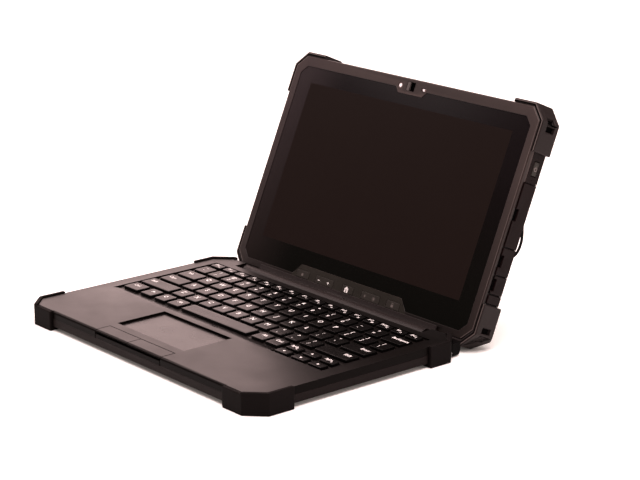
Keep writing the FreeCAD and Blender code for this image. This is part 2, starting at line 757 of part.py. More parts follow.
def make_kickstand_pins():
    pins = new_body("kickstand_pins", "tablet")
    axis = [(kick_height, -kick_back)]
    add_circles(pins, "YZ", axis, 1.2, kick_half - 11.5, kick_half + 7.0)
    add_circles(pins, "YZ", axis, 1.2, -kick_half - 7.0, -kick_half + 11.5)
    return pins


# ---------------------------------------------------------------- tablet shells

PANEL_TOP = 16.0           # top of the button strip let into the glass
CAMERA_LOW = 183.0         # bottom of the camera island let into the glass


def glass_outline(inset):
    """Plan of the cover glass, notched for the button strip and the camera island."""
    right = [(0.0, PANEL_TOP + inset), (65.0 - inset, PANEL_TOP + inset),
             (74.0, glass_low + inset), (glass_half - glass_cut, glass_low + inset),
             (glass_half - inset, glass_low + glass_cut), (glass_half - inset, glass_high - glass_cut),
             (glass_half - glass_cut, glass_high - inset), (19.5 + inset, glass_high - inset),
             (15.0 + inset, CAMERA_LOW - inset)]
    left = [(-as_length(x), y) for x, y in reversed(right)]
    return right[1:] + left[:-1]


FRONT_BUTTONS = {"lock_button": (58.0, 17.0), "brightness_rocker": (29.5, 24.0), "home_button": (0.0, 15.0),
                 "volume_rocker": (-31.0, 24.0), "menu_button": (-60.0, 17.0)}
ROCKERS = ("brightness_rocker", "volume_rocker")
PIVOT_W = -3.4
BUTTON_GAP = 0.3
DOOR_SPANS = {"port_door_upper": (81.9, 135.5), "port_door_middle": (58.4, 80.9),
              "port_door_lower": (42.5, 57.4), "card_door": (34.2, 41.4)}
RECESS_FLOOR_X = 151.9
RECESS_SPAN = (33.9, 136.0)
ROD_SPAN = (33.2, 137.4)
POWER_SPAN = (142.3, 155.0, -15.0, -9.0)


def cut_front_buttons(body, low, high):
    """Cut the five button openings."""
    loops = [rectangle(middle - width / 2.0, middle + width / 2.0, button_low, button_high)
             for middle, width in FRONT_BUTTONS.values()]
    cut_loops(body, "XY", loops, low, high)
    pivots = [(FRONT_BUTTONS[label][0], PIVOT_W) for label in ROCKERS]
    cut_circles(body, "XZ", pivots, 0.6 + running_gap, button_low - 1.0, button_high + 1.0)


def cut_door_recess(body, low, high):
    """Cut the long recess in the right side that the port doors lie in."""
    recess = rectangle(RECESS_FLOOR_X, face_half + OVER, *RECESS_SPAN)
    cut_loops(body, "XY", [recess], low, high)


def cut_power_hole(body, low, high):
    """Cut the opening of the power button."""
    bottom, top = POWER_SPAN[0], POWER_SPAN[1]
    cut_loops(body, "XY", [rectangle(145.0, face_half + OVER, bottom, top)], low, high)


def cut_dock_sockets(body):
    """Cut the holes for the dock's locating studs and its connector."""
    spots = [(side * STUD_U, STUD_W) for side in (LEFT, RIGHT)]
    cut_circles(body, "XZ", spots, 2.3, -OVER, 5.2)
    cut_loops(body, "XZ", [rectangle(-20.4, 20.4, -11.4, -5.6)], -OVER, 1.8)


def make_bezel():
    bezel = new_body("bezel", "tablet")
    add_loops(bezel, "XY", [octagon(face_half, 0.0, face_high, face_cut)], -bezel_thick, -1.0)
    add_loops(bezel, "XY", [octagon(face_half, 0.0, face_high, face_cut)], -1.0, 0.0, -40.0)
    cut_loops(bezel, "XY", [glass_outline(0.0)], -(glass_sunk + glass_thick), OVER)
    seat = octagon(screen_half + 6.0, screen_low - 6.0, screen_high + 4.0, 2.0)
    cut_loops(bezel, "XY", [seat], -(glass_sunk + glass_thick + 0.4), OVER)
    screen = rectangle(-screen_half, screen_half, screen_low, screen_high)
    cut_loops(bezel, "XY", [screen], -bezel_thick - OVER, OVER)
    cut_front_buttons(bezel, -bezel_thick - OVER, OVER)
    cut_circles(bezel, "XY", [(-14.5, 189.5)], 2.6, -bezel_thick - OVER, OVER)
    second_lens = rectangle(12.6, 17.8, 188.2, 190.8)
    shutter_slot = rectangle(-6.2, 3.8, 186.0, 194.0)
    cut_loops(bezel, "XY", [second_lens, shutter_slot], -bezel_thick - OVER, OVER)
    cut_door_recess(bezel, -bezel_thick - OVER, door_front + 0.4)
    return bezel


def make_cover_glass():
    glass = new_body("cover_glass", "tablet")
    add_loops(glass, "XY", [glass_outline(0.0)], -(glass_sunk + glass_thick), -glass_sunk)
    return glass


def make_display_panel():
    panel = new_body("display_panel", "tablet")
    screen = rectangle(-screen_half + 0.3, screen_half - 0.3, screen_low + 0.3, screen_high - 0.3)
    add_loops(panel, "XY", [screen], -bezel_thick + 0.5, -2.0)
    return panel


def make_display_gasket():
    gasket = new_body("display_gasket", "tablet")
    rear = -(glass_sunk + glass_thick + 0.4)
    front = -(glass_sunk + glass_thick)
    outer = octagon(screen_half + 6.0, screen_low - 6.0, screen_high + 4.0, 2.0)
    inner = rectangle(-screen_half + 2.0, screen_half - 2.0, screen_low + 2.0, screen_high - 2.0)
    add_loops(gasket, "XY", [outer, inner], rear, front)
    return gasket


FRAME_WALL = 7.6


def make_tablet_frame():
    frame = new_body("tablet_frame", "tablet")
    add_loops(frame, "XY", [octagon(face_half, 0.0, face_high, face_cut)], -frame_back, -bezel_thick)
    inside = octagon(face_half - FRAME_WALL, FRAME_WALL, face_high - FRAME_WALL, face_cut)
    cut_loops(frame, "XY", [inside], -frame_back - OVER, -bezel_thick - 1.5)
    cut_door_recess(frame, -frame_back - OVER, -bezel_thick + OVER)
    cut_power_hole(frame, -frame_back - OVER, POWER_SPAN[3])
    cut_dock_sockets(frame)
    return frame


def side_bevel(half, start, end):
    """Section of the material to take off a long rear edge, for the left and the right."""
    half = as_length(half)
    slope = as_length(end) - start
    wedge = [(half, -start), (half - slope, -end), (half - slope, -(end + OVER)),
             (half + OVER, -(end + OVER)), (half + OVER, -start)]
    return both_sides(wedge)


def make_tablet_back_shell():
    shell = new_body("tablet_back_shell", "tablet")
    add_loops(shell, "XY", [octagon(face_half, 0.0, face_high, face_cut)], -body_back, -frame_back)
    top_bevel = [(face_high, -frame_back), (188.5, -body_back), (188.5, -body_back - OVER),
                 (face_high + OVER, -body_back - OVER), (face_high + OVER, -frame_back)]
    low_bevel = [(0.0, -13.5), (6.0, -body_back), (6.0, -body_back - OVER),
                 (-OVER, -body_back - OVER), (-OVER, -13.5)]
    cut_loops(shell, "YZ", [top_bevel, low_bevel], -guard_half, guard_half)
    cut_loops(shell, "XZ", side_bevel(face_half, body_back - 2.0, body_back), -OVER, face_high + OVER)
    inside = octagon(face_half - FRAME_WALL, 14.0, 184.0, face_cut)
    cut_loops(shell, "XY", [inside], -body_back + 1.8, -frame_back + OVER)
    cut_door_recess(shell, -17.3, -frame_back + OVER)
    barrel_room = rectangle(RECESS_FLOOR_X, face_half + OVER, *RECESS_SPAN)
    cut_loops(shell, "XY", [barrel_room], -body_back - OVER, -17.2)
    cut_power_hole(shell, POWER_SPAN[2], -frame_back + OVER)
    cut_circles(shell, "XZ", [(door_axis_x, door_axis_w)], 0.5, *ROD_SPAN)
    cut_circles(shell, "XY", mirrored_centres(TABLET_SCREWS), SCREW_SHANK, -body_back - OVER,
                -frame_back + OVER)
    cut_circles(shell, "XY", mirrored_centres(TABLET_SCREWS), 2.2, -body_back - OVER, -body_back + 1.4)
    return shell


TABLET_SCREWS = [(149.0, 62.0), (149.0, 168.0), (60.0, 10.0)]


def make_tablet_screws():
    screws = new_body("tablet_screws", "tablet")
    spots = mirrored_centres(TABLET_SCREWS)
    add_circles(screws, "XY", spots, 2.2, -body_back + 0.3, -body_back + 1.4)
    add_circles(screws, "XY", spots, SCREW_SHANK, -body_back + 1.4, -frame_back)
    return screws


# ---------------------------------------------------------------- tablet bumpers

def guard_plan(side, top, end_u, end_v, inner):
    """Plan of one tablet bumper: outer wall, 45 degree corner and a given inner reach."""
    low = guard_bottom
    high = guard_top
    edge = high if top else low
    away = -1 if top else 1
    inner_v = (high - face_high) if top else -low
    inner_u = guard_half - face_half
    reach_u = inner_u + inner
    reach_v = inner_v + inner
    points = [(end_u, edge), (guard_half - guard_cut, edge), (guard_half, edge + away * guard_cut),
              (guard_half, end_v), (guard_half - reach_u, end_v),
              (guard_half - reach_u, edge + away * (reach_v + face_cut)),
              (guard_half - reach_u - face_cut, edge + away * reach_v), (end_u, edge + away * reach_v)]
    return [(side * as_length(u), v) for u, v in points]


def chamfer_outer_edges(body, plane_w, edge_v, width):
    """Chamfer the outline edges that lie in one plane across the tablet's thickness."""
    last = body.Tip
    names = []
    for index, edge in enumerate(last.Shape.Edges):
        corners = [vertex.Point for vertex in edge.Vertexes]
        in_plane = all(abs(corner.z - plane_w.number) < 0.01 for corner in corners)
        outer = all(abs(abs(corner.x) - guard_half.number) < 0.01 or abs(corner.y - edge_v.number) < 0.01
                    for corner in corners)
        if in_plane and outer:
            names.append(f"Edge{index + 1}")
    feature = body.newObject("PartDesign::Chamfer", f"{body.Name}Chamfer")
    feature.Base = (last, names)
    feature.setExpression("Size", width.formula)
    doc.recompute()


def corner_slot(side, top, start, end):
    """Plan of a slot in the bumper's corner, measured from the edge between side and 45 degree face."""
    away = -1 if top else 1
    corner_v = guard_top - guard_cut if top else guard_bottom + guard_cut
    slant = math.sqrt(0.5)
    inside = [(-end * slant - SLOT_DEEP * slant, -away * end * slant + away * SLOT_DEEP * slant)]
    outside = [(-end * slant + OVER * slant, -away * end * slant - away * OVER * slant)]
    if start < 0:
        inside += [(-SLOT_DEEP, away * SLOT_DEEP * HALF_DIAGONAL), (-SLOT_DEEP, -away * start)]
        outside += [(OVER, -away * OVER * HALF_DIAGONAL), (OVER, -away * start)]
    else:
        inside += [(-start * slant - SLOT_DEEP * slant, -away * start * slant + away * SLOT_DEEP * slant)]
        outside += [(-start * slant + OVER * slant, -away * start * slant - away * OVER * slant)]
    points = inside + list(reversed(outside))
    return [(side * (guard_half + u), corner_v + v) for u, v in points]


SLOT_DEEP = 2.4            # the slots for a hand strap go round the corner and leave a bar between
SIDE_SLOT_LONG = 5.0


def make_tablet_bumper(label, side, top, end_u, end_v, side_slot, corner_span):
    bumper = new_body(label, "tablet")
    wall = guard_plan(side, top, end_u, end_v, 0.0)
    flange = guard_plan(side, top, end_u, end_v, 9.0)
    add_loops(bumper, "XY", [wall], -guard_back, guard_front)
    add_loops(bumper, "XY", [flange], -guard_back, -body_back)
    if top:
        chamfer_outer_edges(bumper, -guard_back, guard_top, guard_chamfer)
    else:
        bevel = [(guard_bottom, -14.6), (4.0, -guard_back), (4.0, -guard_back - OVER),
                 (guard_bottom - OVER, -guard_back - OVER), (guard_bottom - OVER, -14.6)]
        cut_loops(bumper, "YZ", [bevel], -guard_half - OVER, guard_half + OVER)
        cut_loops(bumper, "XZ", side_bevel(guard_half, guard_back - guard_chamfer, guard_back),
                  guard_bottom - OVER, guard_top + OVER)
    chamfer_outer_edges(bumper, guard_front, guard_top if top else guard_bottom, lip_chamfer)
    away = -1 if top else 1
    corner_v = guard_top - guard_cut if top else guard_bottom + guard_cut
    start, finish = corner_v + away * side_slot, corner_v + away * (side_slot + SIDE_SLOT_LONG)
    strap = rectangle(side * (guard_half - SLOT_DEEP), side * (guard_half + OVER), start, finish)
    cut_loops(bumper, "XY", [strap], -16.5, -6.8)
    cut_loops(bumper, "XY", [corner_slot(side, top, *corner_span)], -15.6, -6.8)
    return bumper


# ---------------------------------------------------------------- tablet inside

def make_battery():
    battery = new_body("battery", "tablet")
    cells = [rectangle(-128.0, -72.0, 24.0, 120.0), rectangle(-70.0, -14.0, 24.0, 120.0)]
    add_loops(battery, "XY", cells, -19.4, -13.0)
    add_loops(battery, "XY", [rectangle(-128.0, -14.0, 120.0, 128.0)], -18.0, -14.0)
    return battery


def make_main_board():
    board = new_body("main_board", "tablet")
    outline = [(0.0, 60.0), (140.0, 60.0), (140.0, 178.0), (-120.0, 178.0), (-120.0, 140.0), (0.0, 140.0)]
    add_loops(board, "XY", [outline], -11.2, -10.0)
    chips = [rectangle(30.0, 60.0, 100.0, 130.0), rectangle(80.0, 92.0, 100.0, 130.0),
             rectangle(-80.0, -60.0, 150.0, 165.0)]
    add_loops(board, "XY", chips, -13.0, -11.2)
    return board


def make_heat_spreader():
    spreader = new_body("heat_spreader", "tablet")
    add_loops(spreader, "XY", [rectangle(10.0, 130.0, 80.0, 150.0)], -8.0, -6.7)
    add_loops(spreader, "XY", [rectangle(34.0, 56.0, 104.0, 126.0)], -10.0, -8.0)
    return spreader


def make_port_sockets():
    sockets = new_body("port_sockets", "tablet")
    spans = [(86.0, 99.0), (103.0, 116.0), (120.0, 131.0), (62.0, 77.0), (45.0, 55.0)]
    loops = [rectangle(140.0, 146.0, low, high) for low, high in spans]
    add_loops(sockets, "XY", loops, -16.4, -10.0)
    return sockets


# ---------------------------------------------------------------- tablet controls

def make_front_button(label):
    button = new_body(label, "tablet")
    middle, width = FRONT_BUTTONS[label]
    half = width / 2.0 - BUTTON_GAP
    cap = rectangle(middle - half, middle + half, button_low + BUTTON_GAP, button_high - BUTTON_GAP)
    add_loops(button, "XY", [cap], -4.4, 0.2)
    if label in ROCKERS:
        add_circles(button, "XZ", [(middle, PIVOT_W)], 0.6, button_low - 0.8, button_high + 0.8)
    return button


def make_power_button():
    button = new_body("power_button", "tablet")
    low, high, back, front = POWER_SPAN
    cap = rectangle(149.5, 154.0, low + 2.0 * BUTTON_GAP, high - 2.0 * BUTTON_GAP)
    add_loops(button, "XY", [cap], back + BUTTON_GAP, front - BUTTON_GAP)
    return button


def make_camera_module():
    camera = new_body("camera_module", "tablet")
    add_circles(camera, "XY", [(-14.5, 189.5)], 2.4, -5.2, -0.5)
    add_loops(camera, "XY", [rectangle(12.9, 17.5, 188.5, 190.5)], -5.2, -0.5)
    add_circles(camera, "XY", [(0.6, 190.0)], 1.4, -5.2, -2.4)
    return camera


def make_camera_shutter():
    shutter = new_body("camera_shutter", "tablet")
    add_loops(shutter, "XY", [rectangle(-6.0, -2.9, 186.3, 193.7)], -2.0, -0.2)
    return shutter


def make_port_door(label):
    door = new_body(label, "tablet")
    low, high = DOOR_SPANS[label]
    plate = rectangle(152.6, door_face, door_axis_w, door_front)
    add_loops(door, "XZ", [plate], low, high)
    add_circles(door, "XZ", [(door_axis_x, door_axis_w)], 1.1, low, high)
    cut_circles(door, "XZ", [(door_axis_x, door_axis_w)], 0.5 + running_gap, low - OVER, high + OVER)
    middle = low + (high - low) * 0.5
    if high - low > 10.0:
        thumb = rectangle(door_face - THUMB_DEEP, door_face + OVER, middle - 5.0, middle + 5.0)
        cut_loops(door, "XY", [thumb], THUMB_BACK, door_front + OVER)
    return door


THUMB_DEEP = 1.9
THUMB_BACK = -7.2


def make_door_rod():
    rod = new_body("door_rod", "tablet")
    add_circles(rod, "XZ", [(door_axis_x, door_axis_w)], 0.5, *ROD_SPAN)
    return rod


# ---------------------------------------------------------------- tether

TETHER_ROUTE = [(149.8, 107.0, -20.0), (150.6, 98.5, -23.4), (150.9, 89.0, -26.2),
                (150.6, 78.0, -24.8), (149.8, 74.5, -19.8)]


def tube_along(points, radius):
    """A round cord made of straight runs and tangent arcs."""
    corners = [Vector(*point) for point in points]
    edges = []
    start = corners[0]
    for index in range(1, len(corners) - 1):
        before = (corners[index - 1] - corners[index])
        after = (corners[index + 1] - corners[index])
        half_turn = (math.pi - before.getAngle(after)) / 2.0
        reach = 0.45 * min(before.Length, after.Length)
        arc_in = corners[index] + before.normalize() * reach
        arc_out = corners[index] + after.normalize() * reach
        toward = (before + after).normalize()
        bend = reach / math.tan(half_turn)
        centre = corners[index] + toward * (bend / math.cos(half_turn))
        middle = centre - toward * bend
        edges.append(Part.makeLine(start, arc_in))
        edges.append(Part.Arc(arc_in, middle, arc_out).toShape())
        start = arc_out
    edges.append(Part.makeLine(start, corners[-1]))
    wire = Part.Wire(edges)
    direction = corners[1] - corners[0]
    circle = Part.Wire([Part.makeCircle(radius, corners[0], direction)])
    return wire.makePipeShell([circle], True, False)


def make_tether():
    tether = doc.addObject("Part::Feature", "tether_loop")
    tether.Label = "tether_loop"
    tether.Shape = tube_along(TETHER_ROUTE, tether_radius.number)
    place(tether, "tablet")
    return tether


# ---------------------------------------------------------------- build everything

TOP_SLOTS = (3.2, (-2.0, 4.7))
BOTTOM_SLOTS = (2.0, (0.8, 7.4))

nodes = [make_bottom_shell(), make_deck()]
for bumper_side, side_name in ((LEFT, "left"), (RIGHT, "right")):
    nodes.append(make_base_bumper(f"base_bumper_front_{side_name}", bumper_side, False))
    nodes.append(make_base_bumper(f"base_bumper_rear_{side_name}", bumper_side, True))
    nodes.append(make_tablet_bumper(f"tablet_bumper_top_{side_name}", bumper_side, True, 119.5, 161.5,
                                    *TOP_SLOTS))
    nodes.append(make_tablet_bumper(f"tablet_bumper_bottom_{side_name}", bumper_side, False, 126.0, 33.0,
                                    *BOTTOM_SLOTS))
for row_label in list(KEY_ROWS) + ["arrow_keys"]:
    nodes.append(make_keys(row_label))
nodes.append(make_keyboard_plate())
nodes.append(make_dome_sheet())
nodes.append(make_base_board())
nodes.append(make_touchpad())
half_gap = BUTTON_GAP_WIDE / 2.0
nodes.append(make_touchpad_button("touchpad_button_left", buttons_left + BUTTON_GAP_WIDE,
                                  BUTTON_SPLIT - half_gap, BUTTON_POSTS[0]))
nodes.append(make_touchpad_button("touchpad_button_right", BUTTON_SPLIT + half_gap,
                                  buttons_right - BUTTON_GAP_WIDE, BUTTON_POSTS[1]))
nodes.append(make_base_screws())
nodes.append(make_hinge_blocks())
nodes.append(make_hinge_pins())
nodes.append(make_dock_spine())
nodes.append(make_dock_back_plate())
nodes.append(make_dock_screws())
nodes.append(make_dock_connector())
nodes.append(make_dock_studs())
nodes.append(make_kickstand())
nodes.append(make_kickstand_foot())
nodes.append(make_kickstand_pins())
nodes.append(make_bezel())
nodes.append(make_cover_glass())
nodes.append(make_display_panel())
nodes.append(make_display_gasket())
nodes.append(make_tablet_frame())
nodes.append(make_tablet_back_shell())
nodes.append(make_tablet_screws())
nodes.append(make_battery())
nodes.append(make_main_board())
nodes.append(make_heat_spreader())
nodes.append(make_port_sockets())
for button_label in FRONT_BUTTONS:
    nodes.append(make_front_button(button_label))
nodes.append(make_power_button())
nodes.append(make_camera_module())
nodes.append(make_camera_shutter())
for door_label in DOOR_SPANS:
    nodes.append(make_port_door(door_label))
nodes.append(make_door_rod())
nodes.append(make_tether())

doc.recompute()
for item in doc.Objects:
    if "Invalid" in item.State or "Error" in item.State:
        raise RuntimeError(f"{item.Label} did not rebuild: {item.State}")

os.makedirs("parts", exist_ok=True)
everything = FreeCAD.BoundBox()
for node in nodes:
    if node.Shape.isNull() or not node.Shape.isValid():
        raise RuntimeError(f"{node.Label} has no valid shape")
    node.Shape.exportStep(f"parts/{node.Label}.step")
    everything.add(node.Shape.BoundBox)
    print(f"{node.Label:28s} solids {len(node.Shape.Solids):3d} volume {node.Shape.Volume:10.1f}")
print("nodes", len(nodes))
print("x", round(everything.XMin, 3), round(everything.XMax, 3))
print("y", round(everything.YMin, 3), round(everything.YMax, 3))
print("z", round(everything.ZMin, 3), round(everything.ZMax, 3))
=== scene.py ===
import json
import math
import bmesh
import bpy
from mathutils import Matrix, Vector


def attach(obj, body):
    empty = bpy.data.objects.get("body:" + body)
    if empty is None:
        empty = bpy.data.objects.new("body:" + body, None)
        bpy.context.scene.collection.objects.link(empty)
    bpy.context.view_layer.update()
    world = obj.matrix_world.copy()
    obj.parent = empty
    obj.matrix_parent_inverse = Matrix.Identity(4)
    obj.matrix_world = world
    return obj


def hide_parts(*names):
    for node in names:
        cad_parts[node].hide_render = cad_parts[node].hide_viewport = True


# Rugged detachable laptop: looks for the CAD frame. Metres, same frame as the CAD.
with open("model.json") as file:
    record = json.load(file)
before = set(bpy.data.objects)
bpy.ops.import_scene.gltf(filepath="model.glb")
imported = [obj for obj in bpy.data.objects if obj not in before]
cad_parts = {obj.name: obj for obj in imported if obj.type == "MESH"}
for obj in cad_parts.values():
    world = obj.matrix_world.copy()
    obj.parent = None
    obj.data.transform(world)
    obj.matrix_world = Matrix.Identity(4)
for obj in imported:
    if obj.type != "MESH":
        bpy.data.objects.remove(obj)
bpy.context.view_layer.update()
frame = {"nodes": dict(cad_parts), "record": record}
MM = 0.001
record = frame["record"]
scene = bpy.context.scene

# ---------------------------------------------------------------- camera

CAMERA_PLACE = Vector((1.276907, -1.028320, 0.544810))
AZIMUTH = math.radians(50.249)
ELEVATION = math.radians(16.011)
ROLL = -0.0051
FOCAL_MM = 115.69


def make_camera():
    """The camera, in front of the right corner and a little above."""
    camera = bpy.data.objects.new("Camera", bpy.data.cameras.new("Camera"))
    scene.collection.objects.link(camera)
    camera.data.lens = FOCAL_MM
    camera.data.sensor_width = 36.0
    camera.data.clip_start = 0.05
    right = Vector((math.cos(AZIMUTH), math.sin(AZIMUTH), 0))
    up = Vector((-math.sin(AZIMUTH) * math.sin(ELEVATION), math.cos(AZIMUTH) * math.sin(ELEVATION),
                 math.cos(ELEVATION)))
    turned_right = right * math.cos(ROLL) + up * math.sin(ROLL)
    turned_up = up * math.cos(ROLL) - right * math.sin(ROLL)
    back = turned_right.cross(turned_up)
    camera.matrix_world = Matrix((
        (turned_right.x, turned_up.x, back.x, CAMERA_PLACE.x),
        (turned_right.y, turned_up.y, back.y, CAMERA_PLACE.y),
        (turned_right.z, turned_up.z, back.z, CAMERA_PLACE.z),
        (0, 0, 0, 1)))
    scene.camera = camera


make_camera()

# ---------------------------------------------------------------- tablet frame

joints = {joint["name"]: joint for joint in record["behaviour"]["joints"]}
UP_AXIS = Vector(joints["undock_slide"]["axis"]).normalized()
OUT_AXIS = Vector((1, 0, 0)).cross(UP_AXIS).normalized()


def tablet_origin():
    """Bottom middle of the bezel's front face."""
    corners = [vertex.co for vertex in frame["nodes"]["bezel"].data.vertices]
    low = min(corner.dot(UP_AXIS) for corner in corners)
    front = max(corner.dot(OUT_AXIS) for corner in corners)
    return UP_AXIS * low + OUT_AXIS * front


TABLET_ORIGIN = tablet_origin()
TABLET = Matrix.Translation(TABLET_ORIGIN) @ Matrix((
    (1, 0, 0, 0),
    (0, UP_AXIS.y, OUT_AXIS.y, 0),
    (0, UP_AXIS.z, OUT_AXIS.z, 0),
    (0, 0, 0, 1)))


def on_tablet(u, v, w):
    """Millimetres across, up and out of the bezel's face, as a point in the frame."""
    return TABLET @ Vector((u * MM, v * MM, w * MM))


# ---------------------------------------------------------------- tether cord

TETHER_ROUTE = [(149.8, 107.0, -20.0), (150.6, 98.5, -23.4), (150.9, 89.0, -26.2),
                (150.6, 78.0, -24.8), (149.8, 74.5, -19.8)]
TETHER_THICK = 0.0024


def make_tether():
    """The small cord loop at the right side of the tablet."""
    curve = bpy.data.curves.new("tether_cord", "CURVE")
    curve.dimensions = "3D"
    spline = curve.splines.new("NURBS")
    spline.points.add(len(TETHER_ROUTE) - 1)
    for point, place in zip(spline.points, TETHER_ROUTE):
        point.co = (*on_tablet(*place), 1)
    spline.order_u = 3
    spline.use_endpoint_u = True
    spline.resolution_u = 24
    curve.bevel_depth = TETHER_THICK / 2
    curve.bevel_resolution = 5
    cord = bpy.data.objects.new("tether_cord", curve)
    scene.collection.objects.link(cord)
    return cord


tether = make_tether()

# ---------------------------------------------------------------- materials


def add_node(tree, kind, **settings):
    """Add a shader node and set its properties."""
    node = tree.nodes.new(kind)
    for name, value in settings.items():
        setattr(node, name, value)
    return node


def surface(name, colour, rough, specular=0.3, grain=1200.0, bump=0.08, mottle=0.12,
            wear=0.0, rough_swing=0.08, coat=0.0, metallic=0.0):
    """Moulded or painted surface: mottled colour, fine grain bump, uneven gloss and worn edges."""
    material = bpy.data.materials.new(name)
    material.use_nodes = True
    tree = material.node_tree
    shader = tree.nodes["Principled BSDF"]
    shader.inputs["Specular IOR Level"].default_value = specular
    shader.inputs["Metallic"].default_value = metallic
    shader.inputs["Coat Weight"].default_value = coat
    shader.inputs["Coat Roughness"].default_value = 0.12
    place = add_node(tree, "ShaderNodeTexCoord").outputs["Object"]
    broad = add_node(tree, "ShaderNodeTexNoise")
    broad.inputs["Scale"].default_value = 38.0
    broad.inputs["Detail"].default_value = 5.0
    tree.links.new(place, broad.inputs["Vector"])
    tone = add_node(tree, "ShaderNodeMapRange")
    tone.inputs["From Min"].default_value = 0.3
    tone.inputs["From Max"].default_value = 0.7
    tone.inputs["To Min"].default_value = 1.0 - mottle
    tone.inputs["To Max"].default_value = 1.0 + mottle
    tree.links.new(broad.outputs["Fac"], tone.inputs["Value"])
    shade = add_node(tree, "ShaderNodeMix", data_type="RGBA", blend_type="MULTIPLY", name="shade")
    shade.inputs["Factor"].default_value = 1.0
    shade.inputs[6].default_value = (*colour, 1)
    tree.links.new(tone.outputs["Result"], shade.inputs[7])
    colour_out = shade.outputs[2]
    if wear:
        geometry = add_node(tree, "ShaderNodeNewGeometry")
        edges = add_node(tree, "ShaderNodeMapRange")
        edges.inputs["From Min"].default_value = 0.52
        edges.inputs["From Max"].default_value = 0.62
        tree.links.new(geometry.outputs["Pointiness"], edges.inputs["Value"])
        worn = add_node(tree, "ShaderNodeMix", data_type="RGBA")
        tree.links.new(edges.outputs["Result"], worn.inputs["Factor"])
        tree.links.new(colour_out, worn.inputs[6])
        worn.inputs[7].default_value = tuple(min(1.0, part * (1 + wear)) for part in colour) + (1,)
        colour_out = worn.outputs[2]
    tree.links.new(colour_out, shader.inputs["Base Color"])
    fine = add_node(tree, "ShaderNodeTexNoise")
    fine.inputs["Scale"].default_value = grain
    fine.inputs["Detail"].default_value = 3.0
    tree.links.new(place, fine.inputs["Vector"])
    gloss = add_node(tree, "ShaderNodeMapRange")
    gloss.inputs["To Min"].default_value = max(0.02, rough - rough_swing)
    gloss.inputs["To Max"].default_value = min(1.0, rough + rough_swing)
    tree.links.new(broad.outputs["Fac"], gloss.inputs["Value"])
    tree.links.new(gloss.outputs["Result"], shader.inputs["Roughness"])
    relief = add_node(tree, "ShaderNodeBump")
    relief.inputs["Strength"].default_value = bump
    relief.inputs["Distance"].default_value = 0.0002
    tree.links.new(fine.outputs["Fac"], relief.inputs["Height"])
    tree.links.new(relief.outputs["Normal"], shader.inputs["Normal"])
    return material


def ramp_between(tree, value, start, finish):
    """Turn a value into a smooth 0 to 1 step between two places."""
    step = add_node(tree, "ShaderNodeMapRange", interpolation_type="SMOOTHSTEP")
    step.inputs["From Min"].default_value = start
    step.inputs["From Max"].default_value = finish
    tree.links.new(value, step.inputs["Value"])
    return step.outputs["Result"]


def blend(tree, factor, first, second):
    """Mix two colours, each given as a colour or as the output of another blend."""
    node = add_node(tree, "ShaderNodeMix", data_type="RGBA")
    tree.links.new(factor, node.inputs["Factor"])
    for socket, colour in ((node.inputs[6], first), (node.inputs[7], second)):
        if isinstance(colour, tuple):
            socket.default_value = (*colour, 1)
        else:
            tree.links.new(colour, socket)
    return node.outputs[2]


# Where the painted light and shade on the tablet's glass and bezel change: heights, and places towards the
# left end, in metres.
PAINTED_LIGHT_HEIGHTS = (-0.02, 0.19)
PAINTED_LIGHT_TO_LEFT = (-0.075, -0.150)


def painted_light_gradient(material, low, high, left_low, left_high):
    """Paint light and shade into a tablet surface's colour, from its bottom to its top and towards its left
    end.
    """
    tree = material.node_tree
    split = add_node(tree, "ShaderNodeSeparateXYZ")
    place = add_node(tree, "ShaderNodeTexCoord").outputs["Object"]
    tree.links.new(place, split.inputs["Vector"])
    height = ramp_between(tree, split.outputs["Z"], *PAINTED_LIGHT_HEIGHTS)
    near_left = ramp_between(tree, split.outputs["X"], *PAINTED_LIGHT_TO_LEFT)
    colour = blend(tree, near_left, blend(tree, height, low, high), blend(tree, height, left_low, left_high))
    tree.links.new(colour, tree.nodes["shade"].inputs[6])


def sheen_on_top(material, side_level, top_level):
    """Keep a surface's sheen on the faces that look up, and dull the ones that look sideways."""
    tree = material.node_tree
    split = add_node(tree, "ShaderNodeSeparateXYZ")
    tree.links.new(add_node(tree, "ShaderNodeNewGeometry").outputs["Normal"], split.inputs["Vector"])
    level = add_node(tree, "ShaderNodeMapRange", interpolation_type="SMOOTHSTEP")
    level.inputs["From Min"].default_value = 0.70
    level.inputs["From Max"].default_value = 0.995
    level.inputs["To Min"].default_value = side_level
    level.inputs["To Max"].default_value = top_level
    tree.links.new(split.outputs["Z"], level.inputs["Value"])
    tree.links.new(level.outputs["Result"], tree.nodes["Principled BSDF"].inputs["Specular IOR Level"])


DECK_PAINT = surface("deck_paint", (0.0024, 0.0017, 0.0015), 0.31, specular=0.112, wear=0.4, mottle=0.06)
PAD_FILM = surface("pad_film", (0.0040, 0.0030, 0.0028), 0.26, specular=0.19, mottle=0.04)
SHELL_PAINT = surface("shell_paint", (0.0064, 0.0044, 0.0042), 0.48, specular=0.038, wear=0.4, mottle=0.08)
BASE_RUBBER = surface("base_rubber", (0.0048, 0.0036, 0.0035), 0.62, specular=0.028, grain=900, bump=0.10,
                      wear=0.3)
TABLET_RUBBER = surface("tablet_rubber", (0.0150, 0.0108, 0.0104), 0.55, specular=0.12, grain=900, bump=0.12,
                        wear=0.5)
TABLET_PAINT = surface("tablet_paint", (0.0052, 0.0020, 0.0020), 0.50, specular=0.075, wear=0.4)
BEZEL_PAINT = surface("bezel_paint", (0.080, 0.054, 0.050), 0.42, specular=0.14, wear=0.9, mottle=0.08)
KEY_PLASTIC = surface("key_plastic", (0.0018, 0.0014, 0.0013), 0.27, specular=0.10, grain=1600, bump=0.05,
                      mottle=0.06)
DOCK_PAINT = surface("dock_paint", (0.0090, 0.0055, 0.0052), 0.42, specular=0.22, wear=0.5)
HINGE_PAINT = surface("hinge_paint", (0.0014, 0.0009, 0.0009), 0.5, specular=0.03)
STEEL = surface("bare_steel", (0.35, 0.33, 0.32), 0.35, metallic=1.0, grain=500, bump=0.05, mottle=0.06)
